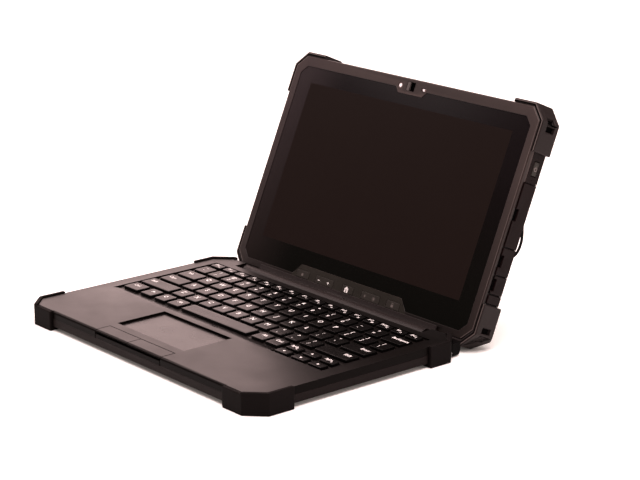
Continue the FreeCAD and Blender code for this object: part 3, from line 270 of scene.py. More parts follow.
BLACK_RUBBER = surface("foot_rubber", (0.010, 0.009, 0.009), 0.75, specular=0.12, grain=700, bump=0.2)
GLASS = surface("cover_glass_black", (0.0140, 0.0100, 0.0100), 0.16, specular=0.09, grain=300, bump=0.004,
                mottle=0.03, rough_swing=0.02)
SCREEN_WITH_PAINTED_GLOW = surface("screen_off_painted_glow", (0.0022, 0.0013, 0.0010), 0.3, specular=0.03, grain=300, bump=0.003,
                 mottle=0.03, rough_swing=0.02)
# The switched-off screen glows faintly and warmly: painted light, not a lamp.
screen_shader = SCREEN_WITH_PAINTED_GLOW.node_tree.nodes["Principled BSDF"]
screen_shader.inputs["Emission Color"].default_value = (1.0, 0.54, 0.47, 1)
screen_shader.inputs["Emission Strength"].default_value = 0.0108
BUTTON_PANEL = surface("button_panel", (0.0165, 0.0142, 0.0112), 0.45, specular=0.10)
BUTTON_PLASTIC = surface("button_plastic", (0.0185, 0.0158, 0.0132), 0.4, specular=0.15, wear=0.6)
LENS = surface("lens_cover", (0.80, 0.76, 0.78), 0.2, specular=0.5, mottle=0.05)
SLIDER = surface("slider_plastic", (0.060, 0.048, 0.046), 0.4, specular=0.3)
CORD_BLACK = surface("tether_braid", (0.006, 0.006, 0.006), 0.6, specular=0.1, grain=1500, bump=0.6)
LEGEND = surface("legend_print", (0.86, 0.80, 0.78), 0.5, specular=0.2, mottle=0.04)
LEGEND_DIM = surface("legend_print_dim", (0.12, 0.10, 0.092), 0.5, specular=0.2, mottle=0.1)
POWER_PRINT = surface("power_print", (0.17, 0.14, 0.135), 0.5, specular=0.2, mottle=0.06)
# Light colour for thin lines along the bumpers' rims and the bezel's edge: a painted highlight.
PAINTED_EDGE_HIGHLIGHT = surface("painted_edge_highlight", (0.082, 0.062, 0.058), 0.4, specular=0.3, mottle=0.10)
# Near-black colour for the dome sheet, and painted shade in the slots, the bumpers' lip gaps and behind the
# shutter.
BLACK_AND_PAINTED_SHADE = surface("black_slot_shade", (0.0012, 0.0010, 0.0010), 0.8, specular=0.02)
PLATED = surface("gold_plating", (0.6, 0.42, 0.2), 0.3, metallic=1.0, grain=400, bump=0.03)
BOARD = surface("solder_mask", (0.01, 0.06, 0.025), 0.4, specular=0.4, mottle=0.2)
CELL_WRAP = surface("cell_wrap", (0.02, 0.02, 0.022), 0.45, specular=0.3)
COPPER = surface("copper_sheet", (0.7, 0.36, 0.22), 0.3, metallic=1.0, grain=400, bump=0.04)
SILICONE = surface("silicone_sheet", (0.25, 0.25, 0.24), 0.5, specular=0.3, mottle=0.1)
# Painted light and shade: the glass and the bezel change colour from bottom to top and towards their left
# end.
painted_light_gradient(GLASS, low=(0.0026, 0.0028, 0.0021), high=(0.0040, 0.0024, 0.0028),
     left_low=(0.0115, 0.0085, 0.0078), left_high=(0.0215, 0.0160, 0.0170))
painted_light_gradient(BEZEL_PAINT, low=(0.0020, 0.0012, 0.0008), high=(0.0240, 0.0170, 0.0160),
     left_low=(0.0130, 0.0100, 0.0095), left_high=(0.0210, 0.0140, 0.0145))

sheen_on_top(DECK_PAINT, 0.022, 0.112)

NODE_LOOKS = {
    "base_deck": DECK_PAINT, "base_bottom_shell": SHELL_PAINT, "keyboard_plate": DECK_PAINT,
    "dome_sheet": BLACK_AND_PAINTED_SHADE, "base_board": BOARD, "touchpad": PAD_FILM,
    "touchpad_button_left": DECK_PAINT, "touchpad_button_right": DECK_PAINT, "base_screws": STEEL,
    "hinge_blocks": HINGE_PAINT, "hinge_pins": HINGE_PAINT, "dock_spine": DOCK_PAINT,
    "dock_back_plate": DOCK_PAINT, "dock_screws": STEEL, "dock_connector": PLATED, "dock_studs": STEEL,
    "kickstand": DOCK_PAINT, "kickstand_foot": BLACK_RUBBER, "kickstand_pins": STEEL,
    "bezel": BEZEL_PAINT, "cover_glass": GLASS, "display_panel": SCREEN_WITH_PAINTED_GLOW, "display_gasket": SILICONE,
    "tablet_frame": TABLET_PAINT, "tablet_back_shell": TABLET_PAINT, "tablet_screws": STEEL,
    "battery": CELL_WRAP, "main_board": BOARD, "heat_spreader": COPPER, "card_door": TABLET_PAINT,
    "port_sockets": PLATED, "camera_module": LENS, "camera_shutter": SLIDER, "door_rod": STEEL,
    "port_door_upper": TABLET_PAINT, "port_door_middle": TABLET_PAINT, "port_door_lower": TABLET_PAINT,
    "power_button": BUTTON_PLASTIC, "menu_button": BUTTON_PLASTIC, "home_button": BUTTON_PLASTIC,
    "lock_button": BUTTON_PLASTIC, "volume_rocker": BUTTON_PLASTIC, "brightness_rocker": BUTTON_PLASTIC,
}
body_of = {node: body for body, nodes in record["behaviour"]["bodies"].items() for node in nodes}


def look_of(node):
    """Material of a CAD node."""
    if node in NODE_LOOKS:
        return NODE_LOOKS[node]
    return BASE_RUBBER if node.startswith("base_bumper") else TABLET_RUBBER


for node_name, node_object in frame["nodes"].items():
    node_object.data.materials.clear()
    node_object.data.materials.append(look_of(node_name))

# ---------------------------------------------------------------- piece helpers


def new_piece(name, mesh, material, body, smooth_angle=30.0):
    """Link a mesh as a piece that rides on a body."""
    for polygon in mesh.polygons:
        polygon.use_smooth = True
    mesh.set_sharp_from_angle(angle=math.radians(smooth_angle))
    piece = bpy.data.objects.new(name, mesh)
    scene.collection.objects.link(piece)
    mesh.materials.clear()
    mesh.materials.append(material)
    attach(piece, body)
    return piece


def soften(node, width_mm, segments=3):
    """A copy of a CAD node with its faces merged and its sharp edges rounded."""
    mesh = frame["nodes"][node].data.copy()
    work = bmesh.new()
    work.from_mesh(mesh)
    bmesh.ops.remove_doubles(work, verts=work.verts, dist=1e-6)
    bmesh.ops.dissolve_limit(work, angle_limit=math.radians(0.4), verts=work.verts, edges=work.edges)
    work.to_mesh(mesh)
    work.free()
    piece = new_piece(f"{node}_soft", mesh, look_of(node), body_of[node])
    rounding = piece.modifiers.new("rounding", "BEVEL")
    rounding.width = width_mm * MM
    rounding.segments = segments
    rounding.limit_method = "ANGLE"
    rounding.angle_limit = math.radians(28)
    rounding.use_clamp_overlap = False
    rounding.harden_normals = True
    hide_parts(node)
    return piece


# Rounding of sharp edges, in millimetres.
SOFT_EDGES = {
    "base_bottom_shell": 0.4, "base_deck": 0.3, "keyboard_plate": 0.15, "touchpad_button_left": 0.25,
    "touchpad_button_right": 0.25, "dock_spine": 0.3, "dock_back_plate": 0.4, "kickstand": 0.4,
    "bezel": 0.3, "tablet_frame": 0.15, "tablet_back_shell": 0.2, "port_door_upper": 0.4,
    "port_door_middle": 0.4, "port_door_lower": 0.4, "card_door": 0.4, "power_button": 0.4,
    "menu_button": 0.4, "home_button": 0.4, "lock_button": 0.4, "volume_rocker": 0.4,
    "brightness_rocker": 0.4, "hinge_blocks": 0.5, "touchpad": 0.15,
}
for corner in ("front_left", "front_right", "rear_left", "rear_right"):
    SOFT_EDGES[f"base_bumper_{corner}"] = 0.9
for corner in ("top_left", "top_right", "bottom_left", "bottom_right"):
    SOFT_EDGES[f"tablet_bumper_{corner}"] = 0.7
for soft_node, soft_width in SOFT_EDGES.items():
    soften(soft_node, soft_width)

# ---------------------------------------------------------------- key caps

KEY_ROWS = ["function_keys", "number_keys", "tab_row_keys", "home_row_keys", "shift_row_keys",
            "bottom_row_keys", "space_bar", "arrow_keys"]
LEGENDS = {
    "function_keys": ["Esc"] + [f"F{number}" for number in range(1, 13)] + ["PrtSc", "Ins", "Del"],
    "number_keys": ["~\n`", "!\n1", "@\n2", "#\n3", "$\n4", "%\n5", "^\n6", "&\n7", "*\n8", "(\n9", ")\n0",
                    "_\n-", "+\n=", "Backspace"],
    "tab_row_keys": ["Tab"] + list("QWERTYUIOP") + ["{\n[", "}\n]", "|\n\\"],
    "home_row_keys": ["Caps"] + list("ASDFGHJKL") + [":\n;", "\"\n'", "Enter"],
    "shift_row_keys": ["Shift"] + list("ZXCVBNM") + ["<\n,", ">\n.", "?\n/", "Shift"],
    "bottom_row_keys": ["Ctrl", "Fn", "RING", "Alt", "Alt", "Ctrl"],
    "space_bar": [""],
    "arrow_keys": ["LEFT", "DOWN", "RIGHT", "PgUp", "UP", "PgDn"],
}
ICONS = ["+", "=", "o", "x", "#", "<", ">", "*"]


def islands(mesh):
    """Boxes of a mesh's connected parts, as (low corner, high corner)."""
    work = bmesh.new()
    work.from_mesh(mesh)
    bmesh.ops.remove_doubles(work, verts=work.verts, dist=1e-6)
    unseen = set(work.verts)
    boxes = []
    while unseen:
        group = [unseen.pop()]
        stack = list(group)
        while stack:
            vertex = stack.pop()
            for edge in vertex.link_edges:
                other = edge.other_vert(vertex)
                if other in unseen:
                    unseen.remove(other)
                    group.append(other)
                    stack.append(other)
        low = Vector([min(vertex.co[axis] for vertex in group) for axis in range(3)])
        high = Vector([max(vertex.co[axis] for vertex in group) for axis in range(3)])
        boxes.append((low, high))
    work.free()
    return boxes


def round_loop(low, high, inset, radius, height, steps=4):
    """Points of a rounded rectangle at one height."""
    left, right = low.x + inset, high.x - inset
    front, rear = low.y + inset, high.y - inset
    corners = ((right - radius, front + radius, -90), (right - radius, rear - radius, 0),
               (left + radius, rear - radius, 90), (left + radius, front + radius, 180))
    points = []
    for centre_x, centre_y, start in corners:
        for step in range(steps + 1):
            angle = math.radians(start + 90 * step / steps)
            points.append(Vector((centre_x + radius * math.cos(angle),
                                  centre_y + radius * math.sin(angle), height)))
    return points


# A cap's outline on its way up, in millimetres: how far in, corner radius and height.
CAP_HEIGHT = 3.9 * MM
CAP_LOOPS = [(0.0, 0.9, 0.0), (0.03, 0.9, 0.4), (0.2, 0.9, 3.35), (0.27, 0.9, 3.68), (0.45, 0.9, 3.86),
             (0.75, 0.8, 3.9), (3.0, 0.5, 3.84)]


def add_cap(work, low, high):
    """One key cap: sloping sides, rounded rim and a slightly dished top."""
    base = high.z - CAP_HEIGHT
    rings = []
    for inset, radius, rise in CAP_LOOPS:
        loop = round_loop(low, high, inset * MM, radius * MM, base + rise * MM)
        rings.append([work.verts.new(point) for point in loop])
    count = len(rings[0])
    for lower, upper in zip(rings, rings[1:]):
        for index in range(count):
            after = (index + 1) % count
            work.faces.new((lower[index], lower[after], upper[after], upper[index]))
    work.faces.new(rings[-1])
    work.faces.new(list(reversed(rings[0])))


LETTER_BOLDNESS = 0.012
LINE_SPACING = 0.95


def flat_text(text, height):
    """A flat mesh of a short legend, centred on its own middle."""
    curve = bpy.data.curves.new("legend", "FONT")
    curve.body = text
    curve.size = height
    curve.align_x = "CENTER"
    curve.align_y = "CENTER"
    curve.space_line = LINE_SPACING
    curve.offset = height * LETTER_BOLDNESS
    curve.resolution_u = 2
    helper = bpy.data.objects.new("legend", curve)
    scene.collection.objects.link(helper)
    depsgraph = bpy.context.evaluated_depsgraph_get()
    mesh = bpy.data.meshes.new_from_object(helper.evaluated_get(depsgraph))
    bpy.data.objects.remove(helper)
    bpy.data.curves.remove(curve)
    return mesh


def add_polygon(work, points):
    """One flat face from points."""
    work.faces.new([work.verts.new(point) for point in points])


def add_ring(work, centre, outer, inner, steps=20):
    """A flat ring."""
    rings = [[work.verts.new(centre + Vector((radius * math.cos(math.tau * step / steps),
                                              radius * math.sin(math.tau * step / steps), 0)))
              for step in range(steps)] for radius in (inner, outer)]
    for step in range(steps):
        after = (step + 1) % steps
        work.faces.new((rings[0][step], rings[1][step], rings[1][after], rings[0][after]))


def print_word(work, word, place, height):
    """Print one short word, centred on a place."""
    mesh = flat_text(word, height)
    mesh.transform(Matrix.Translation(place))
    work.from_mesh(mesh)
    bpy.data.meshes.remove(mesh)


# Where legends sit on a cap, and how tall they are, in millimetres from the cap's middle.
LEGEND_LIFT = 0.012
LETTER_SPOT, LETTER_HIGH = (-1.7, 1.6), 6.4
PAIR_SPOTS, PAIR_HIGH = ((-1.3, 3.5), (-1.3, -2.9)), 5.0
FUNCTION_SPOT, FUNCTION_HIGH = (-1.9, 1.5), 3.9
ICON_SPOT, ICON_HIGH, ICON_STEP = (3.0, -1.5), 4.2, 17.2
WORD_HIGH, WORD_MARGIN = 4.6, 8.0
ARROW_RADIUS = 1.5
ARROW_TURNS = {"RIGHT": 0, "UP": 90, "LEFT": 180, "DOWN": 270}
RING_OUTER, RING_INNER = 1.9, 1.2
SHORT_KEY = 10.0


def add_legend(work, word, low, high):
    """Print one legend on top of a key."""
    middle = (low + high) / 2
    middle.z = high.z + LEGEND_LIFT * MM

    def spot(across, along):
        """A place on the cap, in millimetres from its middle."""
        return middle + Vector((across, along, 0)) * MM

    if word in ARROW_TURNS:
        spins = [math.radians(ARROW_TURNS[word] + angle) for angle in (0, 120, 240)]
        add_polygon(work, [spot(ARROW_RADIUS * math.cos(spin), ARROW_RADIUS * math.sin(spin))
                           for spin in spins])
    elif word == "RING":
        add_ring(work, spot(*LETTER_SPOT), RING_OUTER * MM, RING_INNER * MM)
    elif high.y - low.y < SHORT_KEY * MM:
        icon = ICONS[round(low.x / (ICON_STEP * MM)) % len(ICONS)]
        print_word(work, word, spot(*FUNCTION_SPOT), FUNCTION_HIGH * MM)
        print_word(work, icon, spot(*ICON_SPOT), ICON_HIGH * MM)
    elif "\n" in word:
        for part, place in zip(word.split("\n"), PAIR_SPOTS):
            print_word(work, part, spot(*place), PAIR_HIGH * MM)
    elif len(word) == 1:
        print_word(work, word, spot(*LETTER_SPOT), LETTER_HIGH * MM)
    else:
        shift = max(0.0, (high.x - low.x) / 2 / MM - WORD_MARGIN)
        print_word(work, word, spot(math.copysign(shift, middle.x), LETTER_SPOT[1]), WORD_HIGH * MM)


def reading_order(box):
    """Sort key: front rows first, then from left to right."""
    return (round(box[0].y / (4 * MM)), box[0].x)


def make_key_row(row):
    """Replace one row of plain CAD caps with finished caps and printed legends."""
    boxes = sorted(islands(frame["nodes"][row].data), key=reading_order)
    caps = bmesh.new()
    prints = bmesh.new()
    for (low, high), word in zip(boxes, LEGENDS[row]):
        add_cap(caps, low, high)
        if word:
            add_legend(prints, word, low, high)
    mesh = bpy.data.meshes.new(f"{row}_caps")
    caps.to_mesh(mesh)
    caps.free()
    piece = new_piece(f"{row}_caps", mesh, KEY_PLASTIC, row, 50.0)
    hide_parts(row)
    if prints.faces:
        mesh = bpy.data.meshes.new(f"{row}_legends")
        prints.to_mesh(mesh)
        new_piece(f"{row}_legends", mesh, LEGEND, row)
    prints.free()


for key_row in KEY_ROWS:
    make_key_row(key_row)

# ---------------------------------------------------------------- tablet front details


def tablet_mesh(name, work, material, body):
    """Finish a mesh drawn in tablet millimetres as a piece."""
    mesh = bpy.data.meshes.new(name)
    work.to_mesh(mesh)
    work.free()
    mesh.transform(TABLET @ Matrix.Scale(MM, 4))
    return new_piece(name, mesh, material, body)


def add_slab(work, outline, low, high):
    """A thin slab from an outline, between two heights."""
    bottom = [work.verts.new((x, y, low)) for x, y in outline]
    top = [work.verts.new((x, y, high)) for x, y in outline]
    work.faces.new(top)
    work.faces.new(list(reversed(bottom)))
    for index in range(len(outline)):
        after = (index + 1) % len(outline)
        work.faces.new((bottom[index], bottom[after], top[after], top[index]))


def box_outline(left, right, low, high):
    """Corners of a rectangle."""
    return [(left, low), (right, low), (right, high), (left, high)]


SCREEN_HALF = 128.05
SCREEN_LOW = 29.35
SCREEN_HIGH = 173.4
GLASS_FACE = -0.6


def make_screen():
    """The display's active area, seen through the black bordered glass, with the faint painted glow of the
    screen.
    """
    work = bmesh.new()
    add_slab(work, box_outline(-SCREEN_HALF, SCREEN_HALF, SCREEN_LOW, SCREEN_HIGH), GLASS_FACE - 0.02,
             GLASS_FACE + 0.03)
    tablet_mesh("active_area", work, SCREEN_WITH_PAINTED_GLOW, "tablet")


make_screen()

# The strip of front buttons: left and right ends of each button, and the strip's half width at four heights.
BUTTON_SPANS = [(-68.5, -51.5), (-43.0, -19.0), (-7.5, 7.5), (17.5, 41.5), (49.5, 66.5)]
FIRST_BUTTON, LAST_BUTTON = BUTTON_SPANS[0][0], BUTTON_SPANS[-1][1]
PANEL_LOW, BUTTON_LOW, BUTTON_HIGH, PANEL_HIGH = 0.7, 4.2, 11.5, 15.9
HALF_AT = {PANEL_LOW: 76.5, BUTTON_LOW: 75.2, BUTTON_HIGH: 69.2, PANEL_HIGH: 65.0}
PANEL_THICK = 0.1


def make_button_panel():
    """The darker strip around the front buttons, left open where the buttons come through."""
    work = bmesh.new()
    shapes = [[(-HALF_AT[low], low), (HALF_AT[low], low), (HALF_AT[high], high), (-HALF_AT[high], high)]
              for low, high in ((PANEL_LOW, BUTTON_LOW), (BUTTON_HIGH, PANEL_HIGH))]
    shapes.append([(-HALF_AT[BUTTON_LOW], BUTTON_LOW), (FIRST_BUTTON, BUTTON_LOW),
                   (FIRST_BUTTON, BUTTON_HIGH), (-HALF_AT[BUTTON_HIGH], BUTTON_HIGH)])
    shapes.append([(LAST_BUTTON, BUTTON_LOW), (HALF_AT[BUTTON_LOW], BUTTON_LOW),
                   (HALF_AT[BUTTON_HIGH], BUTTON_HIGH), (LAST_BUTTON, BUTTON_HIGH)])
    for before, after in zip(BUTTON_SPANS, BUTTON_SPANS[1:]):
        shapes.append(box_outline(before[1], after[0], BUTTON_LOW, BUTTON_HIGH))
    for outline in shapes:
        add_slab(work, outline, -PANEL_THICK / 2, PANEL_THICK / 2)
    tablet_mesh("button_panel", work, BUTTON_PANEL, "tablet")


make_button_panel()

# Printed marks, in tablet millimetres.
PRINT_FACE, PRINT_THICK = 0.215, 0.03
LEGEND_V = 7.6


def disc(centre_u, centre_v, radius, steps=18):
    """Outline of a round dot."""
    return [(centre_u + radius * math.cos(math.tau * step / steps),
             centre_v + radius * math.sin(math.tau * step / steps)) for step in range(steps)]


def print_on(name, outlines, node, material):
    """Print flat marks on a front button."""
    work = bmesh.new()
    for outline in outlines:
        add_slab(work, outline, PRINT_FACE - PRINT_THICK, PRINT_FACE)
    tablet_mesh(name, work, material, body_of[node])


def sun(centre_u, size):
    """Marks of a small sun: a dot and eight rays."""
    marks = [disc(centre_u, LEGEND_V, size * 0.45)]
    for step in range(8):
        angle = math.tau * step / 8
        along = Vector((math.cos(angle), math.sin(angle)))
        across = Vector((-along.y, along.x)) * size * 0.09
        start, end = along * size * 0.62, along * size
        marks.append([(centre_u + p.x, LEGEND_V + p.y) for p in
                      (start - across, end - across, end + across, start + across)])
    return marks


def bar(centre_u, lift, wide, high):
    """A rectangle centred at some height over the middle of the marks."""
    middle_v = LEGEND_V + lift
    return box_outline(centre_u - wide / 2, centre_u + wide / 2, middle_v - high / 2, middle_v + high / 2)


def house(centre_u):
    """A small house: a roof and two walls with the door left open between them."""
    roof = [(centre_u - 2.9, LEGEND_V + 0.1), (centre_u + 2.9, LEGEND_V + 0.1), (centre_u, LEGEND_V + 2.7)]
    return [roof] + [bar(centre_u + side * 1.3, -1.25, 1.6, 2.5) for side in (-1, 1)]


def minus(centre_u):
    """A minus sign."""
    return [bar(centre_u, 0, 2.4, 0.6)]


def plus(centre_u):
    """A plus sign."""
    return minus(centre_u) + [bar(centre_u, side * 0.775, 0.6, 0.85) for side in (-1, 1)]


def padlock(centre_u):
    """A closed padlock: its body, two legs and the bow over them."""
    legs = [bar(centre_u + side * 0.8, 1.2, 0.4, 1.2) for side in (-1, 1)]
    return [bar(centre_u, -0.4, 2.6, 2.0)] + legs + [bar(centre_u, 2.0, 2.0, 0.4)]


print_on("home_print", house(-1.5), "home_button", LEGEND)
print_on("volume_print", minus(-38.0) + plus(-25.8), "volume_rocker", LEGEND)
print_on("brightness_print", sun(22.5, 1.4) + sun(34.0, 1.9), "brightness_rocker", LEGEND_DIM)
print_on("menu_print", [disc(-60.6, LEGEND_V, 1.3)], "menu_button", LEGEND_DIM)
print_on("lock_print", padlock(57.3), "lock_button", LEGEND_DIM)

# ---------------------------------------------------------------- strap slots and power mark

# Outer lines of the tablet's corner bumpers, and the strap slots cut into them.
GUARD_HALF = 156.8
GUARD_TOP, GUARD_BOTTOM = 200.6, -5.4
GUARD_CORNER = 13.0
TOP_CORNER = GUARD_TOP - GUARD_CORNER
LOW_CORNER = GUARD_BOTTOM + GUARD_CORNER
SLOT_FLOOR, SLOT_DEEP = 2.3, 2.7
SLOT_BACK = -16.4
STRAP_SLOTS = {"top": (TOP_CORNER - 8.1, TOP_CORNER - 3.3), "bottom": (LOW_CORNER + 2.1, LOW_CORNER + 6.9)}
CORNER_BANDS = {"top": (-1.9, 4.6), "bottom": (0.9, 7.3)}
CORNER_EASE = math.sqrt(2.0) - 1.0


def black_slot_shade(name, outline, node, back=-15.4, front=-6.9):
    """Black sheet on the floor of a slot: painted shade in the slot."""
    work = bmesh.new()
    add_slab(work, outline, back, front)
    tablet_mesh(name, work, BLACK_AND_PAINTED_SHADE, body_of[node])


def around_corner(side, top, start, end):
    """Band at the slot's depth under the bumper's skin, between two places along its corner."""
    away = -1 if top else 1
    edge_v = TOP_CORNER if top else LOW_CORNER
    slant = math.sqrt(0.5)
    rows = []
    for depth in (SLOT_FLOOR, SLOT_DEEP):
        row = []
        if start < 0:
            row += [(-depth, -away * start), (-depth, away * depth * CORNER_EASE)]
        else:
            row.append((-(start + depth) * slant, away * (depth - start) * slant))
        row.append((-(end + depth) * slant, away * (depth - end) * slant))
        rows.append(row)
    return [(side * (GUARD_HALF + u), edge_v + v) for u, v in rows[0] + list(reversed(rows[1]))]


# Black sheets of painted shade in the strap slots and the corner slots.
for side_sign, side_name in ((-1, "left"), (1, "right")):
    low_u, high_u = sorted(side_sign * (GUARD_HALF - depth) for depth in (SLOT_FLOOR, SLOT_DEEP))
    for end_name, heights in STRAP_SLOTS.items():
        black_slot_shade(f"slot_{end_name}_{side_name}", box_outline(low_u, high_u, *heights),
                    f"tablet_bumper_{end_name}_{side_name}", SLOT_BACK)
    for end_name, band in CORNER_BANDS.items():
        black_slot_shade(f"corner_slot_{end_name}_{side_name}", around_corner(side_sign, end_name == "top", *band),
                    f"tablet_bumper_{end_name}_{side_name}")

# Thumb notches of the port doors: the middle of each, and how deep their dark floor of painted shade lies.
DOOR_FACE = 154.8
THUMB_HALF = 4.6
THUMB_DEPTHS = (1.95, 1.6)
THUMB_MIDDLES = {"port_door_upper": 108.7, "port_door_middle": 69.65, "port_door_lower": 49.95}
for door_name, thumb_v in THUMB_MIDDLES.items():
    floor_line = [DOOR_FACE - depth for depth in THUMB_DEPTHS]
    black_slot_shade(f"{door_name}_thumb", box_outline(*floor_line, thumb_v - THUMB_HALF, thumb_v + THUMB_HALF),
                door_name, -7.0, -4.1)


def edge_path(top, inset, end_u, end_v):
    """Line along one bumper's outline, moved inwards."""
    corner = inset * CORNER_EASE
    edge_v = GUARD_TOP - inset if top else GUARD_BOTTOM + inset
    turn_v = TOP_CORNER - corner if top else LOW_CORNER + corner
    return [(end_u, edge_v), (GUARD_HALF - GUARD_CORNER - corner, edge_v), (GUARD_HALF - inset, turn_v),
            (GUARD_HALF - inset, end_v)]


def edge_line(name, side, outer, inner, height, material):
    """A thin line laid on the tablet's front, between two paths."""
    work = bmesh.new()
    for a, b, c, d in zip(outer, outer[1:], inner[1:], inner):
        add_slab(work, [(side * u, v) for u, v in (a, b, c, d)], height - 0.02, height + 0.015)
    tablet_mesh(name, work, material, "tablet")


# Lines along the bumpers' front lips, by their insets, and along the bezel's outer edge: painted shade in the
# gap, painted highlight on the rim and on the bezel's edge.
LIP_FACE = -0.4
LIP_LINES = {"gap": (1.75, 3.05, BLACK_AND_PAINTED_SHADE), "rim": (0.75, 1.55, PAINTED_EDGE_HIGHLIGHT)}
LIP_ENDS = {"top": (119.7, 161.7), "bottom": (126.2, 32.8)}
BEZEL_EDGE = [(142.7, 196.2), (152.8, 186.3), (152.8, 10.8), (142.7, 0.9)]
BEZEL_EDGE_INNER = [(142.5, 195.7), (152.3, 186.1), (152.3, 11.0), (142.5, 1.4)]


def line_bumper(side, side_name, end_name):
    """Painted shade in the gap and painted highlight on the rim of one bumper's front lip."""
    guard = f"tablet_bumper_{end_name}_{side_name}"
    for line_name, (start, finish, material) in LIP_LINES.items():
        outer, inner = [edge_path(end_name == "top", inset, *LIP_ENDS[end_name]) for inset in (start, finish)]
        edge_line(f"{guard}_{line_name}", side, outer, inner, LIP_FACE, material)


for side_sign, side_name in ((-1, "left"), (1, "right")):
    for lip_end in LIP_ENDS:
        line_bumper(side_sign, side_name, lip_end)
    edge_line(f"bezel_edge_{side_name}", side_sign, BEZEL_EDGE, BEZEL_EDGE_INNER, 0.0, PAINTED_EDGE_HIGHLIGHT)

# The camera window, the sensor window beside it and the covered lens behind the shutter.
WINDOW_FACE = -0.48
CAMERA_MIDDLE = (-14.5, 189.5)
CAMERA_RADII = (2.4, 1.65)
SENSOR_LOW, SENSOR_HIGH = 188.5, 190.5
SENSOR_RIMS = ((12.9, 13.9), (16.1, 17.5))
COVERED_LENS = (0.6, 190.0, 1.7)
COVER_BACK, COVER_FRONT = -2.4, -2.3


def make_camera_rims():
    """Dark rims that leave only the middle of each window bright."""
    outer, inner = [disc(*CAMERA_MIDDLE, radius) for radius in CAMERA_RADII]
    edge_line("camera_rim", 1, outer + outer[:1], inner + inner[:1], WINDOW_FACE, BEZEL_PAINT)
    for start, end in SENSOR_RIMS:
        below, above = [[(start, height), (end, height)] for height in (SENSOR_LOW, SENSOR_HIGH)]
        edge_line(f"sensor_rim_{start:.0f}", 1, below, above, WINDOW_FACE, BEZEL_PAINT)


make_camera_rims()


def make_lens_cap():
    """Dark middle of the covered lens behind the shutter slot: the lens's dark glass, with painted shade in
    the slot.
    """
    work = bmesh.new()
    add_slab(work, disc(*COVERED_LENS), COVER_BACK, COVER_FRONT)
    tablet_mesh("covered_lens", work, BLACK_AND_PAINTED_SHADE, "tablet")


make_lens_cap()


def make_power_mark():
    """Ring and bar printed on the power button, on the tablet's right side."""
    work = bmesh.new()
    face_u = 154.03
    centre_v, centre_w = 148.4, -12.2
    steps = 24
    rings = []
    for radius in (1.15, 1.75):
        rings.append([work.verts.new((face_u, centre_v + radius * math.sin(math.tau * step / steps),
                                      centre_w + radius * math.cos(math.tau * step / steps)))
                      for step in range(steps)])
    for step in range(steps):
        after = (step + 1) % steps
        work.faces.new((rings[0][step], rings[1][step], rings[1][after], rings[0][after]))
    bar = [(face_u, centre_v + 0.4, centre_w - 0.3), (face_u, centre_v + 0.4, centre_w + 0.3),
           (face_u, centre_v + 2.6, centre_w + 0.3), (face_u, centre_v + 2.6, centre_w - 0.3)]
    work.faces.new([work.verts.new(point) for point in bar])
    tablet_mesh("power_print", work, POWER_PRINT, "power_button")


make_power_mark()

# ---------------------------------------------------------------- tether

tether.data.materials.append(CORD_BLACK)
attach(tether, body_of["tether_loop"])
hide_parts("tether_loop")

# ---------------------------------------------------------------- studio


FLOOR_HALF = 8.0
# The floor glows a little, so that it stays white, except where something lies close over it: there the glow
# fades, a painted contact shadow.
FLOOR_GLOW = 0.48
FLOOR_GAP = 0.008


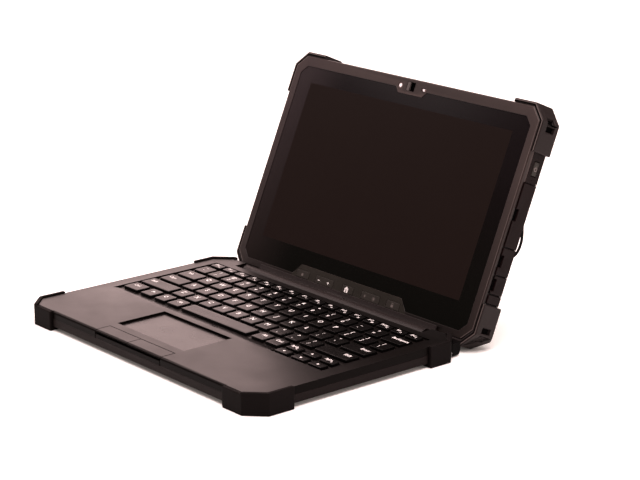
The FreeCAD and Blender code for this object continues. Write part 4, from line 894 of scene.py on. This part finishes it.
def make_floor():
    """Pale floor that glows a little, with a painted contact shadow where something lies close over it."""
    mesh = bpy.data.meshes.new("floor")
    corners = [(x * FLOOR_HALF, y * FLOOR_HALF, 0) for x, y in ((-1, -1), (1, -1), (1, 1), (-1, 1))]
    mesh.from_pydata(corners, [], [(0, 1, 2, 3)])
    floor = bpy.data.objects.new("floor", mesh)
    scene.collection.objects.link(floor)
    material = bpy.data.materials.new("floor_white")
    material.use_nodes = True
    shader = material.node_tree.nodes["Principled BSDF"]
    shader.inputs["Base Color"].default_value = (0.80, 0.78, 0.78, 1)
    shader.inputs["Roughness"].default_value = 0.9
    shader.inputs["Specular IOR Level"].default_value = 0.05
    shader.inputs["Emission Color"].default_value = (1, 0.89, 0.82, 1)
    tree = material.node_tree
    open_sky = add_node(tree, "ShaderNodeAmbientOcclusion")
    open_sky.inputs["Distance"].default_value = FLOOR_GAP
    glow = add_node(tree, "ShaderNodeMapRange")
    glow.inputs["To Max"].default_value = FLOOR_GLOW
    tree.links.new(open_sky.outputs["AO"], glow.inputs["Value"])
    tree.links.new(glow.outputs["Result"], shader.inputs["Emission Strength"])
    mesh.materials.append(material)


def soft_light(name, place, aim, width, height, radiance, colour=(1, 1, 1)):
    """A rectangular soft light of a given brightness per area."""
    data = bpy.data.lights.new(name, "AREA")
    data.shape = "RECTANGLE"
    data.size = width
    data.size_y = height
    data.energy = radiance * math.pi * width * height
    data.color = colour
    light = bpy.data.objects.new(name, data)
    scene.collection.objects.link(light)
    light.location = place
    light.rotation_euler = (Vector(aim) - Vector(place)).to_track_quat("-Z", "Y").to_euler()
    light.visible_camera = False
    return light


make_floor()
away = Vector((-math.sin(AZIMUTH), math.cos(AZIMUTH), 0))
across = Vector((math.cos(AZIMUTH), math.sin(AZIMUTH), 0))
WARM = (1.0, 0.76, 0.73)
soft_light("backdrop_light", away * 2.6 + across * -1.95 + Vector((0, 0, 0.9)), across * -1.95, 4.0, 1.8, 2.9,
           (1.0, 0.73, 0.70))
soft_light("top_light", (0.2, -0.1, 2.2), (0, 0, 0), 2.4, 2.4, 7.0, (1.0, 0.86, 0.84))
soft_light("key_light", (-1.65, -0.75, 1.45), (0, 0, 0), 1.2, 1.2, 2.6, (1.0, 0.84, 0.82))
soft_light("right_light", (2.2, 1.7, 1.0), (0, 0, 0.1), 1.4, 1.2, 2.0, WARM)

world = bpy.data.worlds.new("studio")
world.use_nodes = True
world.node_tree.nodes["Background"].inputs["Color"].default_value = (1.0, 0.78, 0.74, 1)
world.node_tree.nodes["Background"].inputs["Strength"].default_value = 0.12
scene.world = world
scene.view_settings.view_transform = "Standard"


# ---------------------------------------------------------------- cord facts


def spline_length(cord):
    """Length of a cord's own line, measured on a bare copy of it."""
    bare = cord.data.copy()
    bare.bevel_depth = 0
    copy = bpy.data.objects.new("bare_cord", bare)
    mesh = bpy.data.meshes.new_from_object(copy)
    points = [vertex.co.copy() for vertex in mesh.vertices]
    bpy.data.meshes.remove(mesh)
    bpy.data.objects.remove(copy)
    bpy.data.curves.remove(bare)
    return sum((b - a).length for a, b in zip(points, points[1:]))


round(spline_length(tether), 4)
